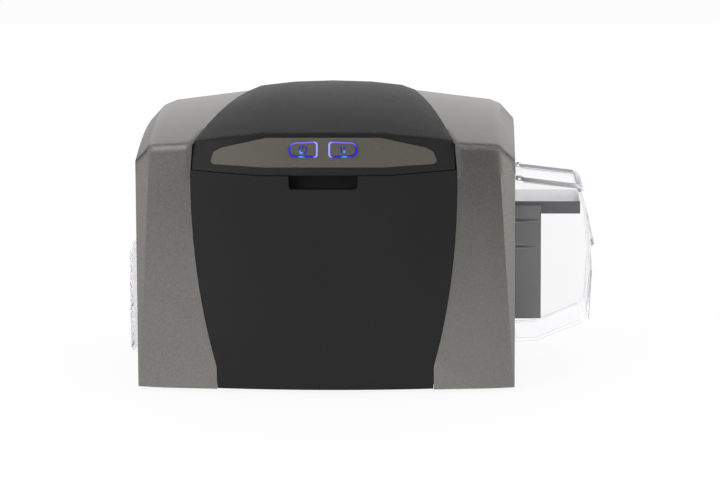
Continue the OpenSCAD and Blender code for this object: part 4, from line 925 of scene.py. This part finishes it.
def seen_mirrored(tree):
    """One where a surface shows as a reflection in a gloss, otherwise nothing."""
    path = tree.nodes.new("ShaderNodeLightPath")
    mirrored = calculated(tree, "SUBTRACT", path.outputs["Is Glossy Ray"],
                          path.outputs["Is Transmission Ray"])
    return calculated(tree, "MAXIMUM", mirrored, 0.0)


FLOOR_SHARE, FLOOR_WHITE, FLOOR_MIRRORED = 0.9, 1.01, 0.87
FLOOR_FAR, FLOOR_NEAR = -3.3, -2.3
WORLD_SOFT, WORLD_WHITE = 0.75, 1.01
LAMPS_LOOK_AT = Vector((0.0, 0.0, 0.1))
LAMPS = (
    ("key_left", (-1.3, -1.9, 1.0), (1.2, 1.2), 21.0),
    ("side_left", (-2.0, -0.3, 0.65), (1.2, 1.2), 6.0),
    ("side_right", (2.0, -0.3, 0.65), (1.2, 1.2), 9.0),
    ("back_panel", (0.0, 2.2, 1.25), (3.6, 2.2), 28.5),
    ("front_right", (0.9, -1.7, 1.35), (0.4, 0.4), 6.0),
)


def white_floor():
    """A matt white floor that glows for the camera, and near the machine for reflections."""
    mat = bpy.data.materials.new("pale_floor")
    mat.use_nodes = True
    tree = mat.node_tree
    tree.nodes.clear()
    out = tree.nodes.new("ShaderNodeOutputMaterial")
    matt = tree.nodes.new("ShaderNodeBsdfDiffuse")
    matt.inputs["Color"].default_value = (0.8, 0.8, 0.8, 1.0)
    coords = tree.nodes.new("ShaderNodeTexCoord")
    split = tree.nodes.new("ShaderNodeSeparateXYZ")
    link(tree, coords.outputs["Object"], split.inputs[0])
    near = ramp_mask(tree, split.outputs["Y"], FLOOR_FAR, FLOOR_NEAR, FLOOR_MIRRORED)
    mirrored = seen_mirrored(tree)
    seen = seen_directly(tree)
    glow = tree.nodes.new("ShaderNodeEmission")
    link(tree, calculated(tree, "MAXIMUM", calculated(tree, "MULTIPLY", seen, FLOOR_WHITE),
                          calculated(tree, "MULTIPLY", mirrored, near)), glow.inputs["Strength"])
    mix = tree.nodes.new("ShaderNodeMixShader")
    link(tree, calculated(tree, "MAXIMUM", calculated(tree, "MULTIPLY", seen, FLOOR_SHARE),
                          mirrored), mix.inputs[0])
    link(tree, matt.outputs[0], mix.inputs[1])
    link(tree, glow.outputs[0], mix.inputs[2])
    link(tree, mix.outputs[0], out.inputs["Surface"])
    return mat


class CARDPRINTER_OT_stage(bpy.types.Operator):
    """Lay a pale floor, light it softly and set up the camera"""
    bl_idname = "card_printer.stage"
    bl_label = "Stage"

    def execute(self, context):
        scene = context.scene
        scene.view_settings.view_transform = "Standard"
        bpy.ops.object.select_all(action="DESELECT")
        bpy.ops.mesh.primitive_plane_add(size=12.0, location=(0.0, 2.0, 0.0))
        floor = bpy.context.active_object
        floor.name = "floor"
        coat_with(floor, white_floor())

        world = bpy.data.worlds.new("studio")
        scene.world = world
        world.use_nodes = True
        tree = world.node_tree
        sky = tree.nodes["Background"]
        sky.inputs["Color"].default_value = (1.0, 1.0, 1.0, 1.0)
        soft = ramp_mask(tree, seen_mirrored(tree), 1.0, 0.0, WORLD_SOFT)
        seen = calculated(tree, "MULTIPLY", seen_directly(tree), WORLD_WHITE)
        link(tree, calculated(tree, "MAXIMUM", soft, seen), sky.inputs["Strength"])
        for lamp in LAMPS:
            area_light(*lamp)

        place, right, up, back = camera_frame()
        data = bpy.data.cameras.new("camera")
        data.sensor_fit = "HORIZONTAL"
        data.sensor_width = SENSOR
        data.lens = FOCAL_PIXELS / PICTURE_PIXELS * SENSOR
        data.clip_end = 50.0
        camera = bpy.data.objects.new("camera", data)
        turn = Matrix((right, up, back)).transposed().to_4x4()
        camera.matrix_world = Matrix.Translation(place) @ turn
        scene.collection.objects.link(camera)
        scene.camera = camera
        return {"FINISHED"}


OPERATORS = (
    CARDPRINTER_OT_finishes,
    CARDPRINTER_OT_covers,
    CARDPRINTER_OT_panel,
    CARDPRINTER_OT_hopper,
    CARDPRINTER_OT_bin,
    CARDPRINTER_OT_stage,
)


class CARDPRINTER_PT_sidebar(bpy.types.Panel):
    """The printer's pieces and settings"""
    bl_idname = "CARDPRINTER_PT_sidebar"
    bl_label = "Card Printer"
    bl_space_type = "VIEW_3D"
    bl_region_type = "UI"
    bl_category = "Card Printer"

    def draw(self, context):
        layout = self.layout
        for owner in (context.scene.printer_sizes, context.scene.printer_colours):
            for name in owner.__annotations__:
                layout.prop(owner, name)
        for operator in OPERATORS:
            layout.operator(operator.bl_idname)


CLASSES = (PrinterSizes, PrinterColours, *OPERATORS, CARDPRINTER_PT_sidebar)


def register():
    for cls in CLASSES:
        bpy.utils.register_class(cls)
    bpy.types.Scene.printer_sizes = bpy.props.PointerProperty(type=PrinterSizes)
    bpy.types.Scene.printer_colours = bpy.props.PointerProperty(type=PrinterColours)


def unregister():
    del bpy.types.Scene.printer_colours
    del bpy.types.Scene.printer_sizes
    for cls in reversed(CLASSES):
        bpy.utils.unregister_class(cls)


def main():
    register()
    bpy.ops.card_printer.finishes()
    bpy.ops.card_printer.covers()
    bpy.ops.card_printer.panel()
    bpy.ops.card_printer.hopper()
    bpy.ops.card_printer.bin()
    bpy.ops.card_printer.stage()


if __name__ == "__main__":
    main()
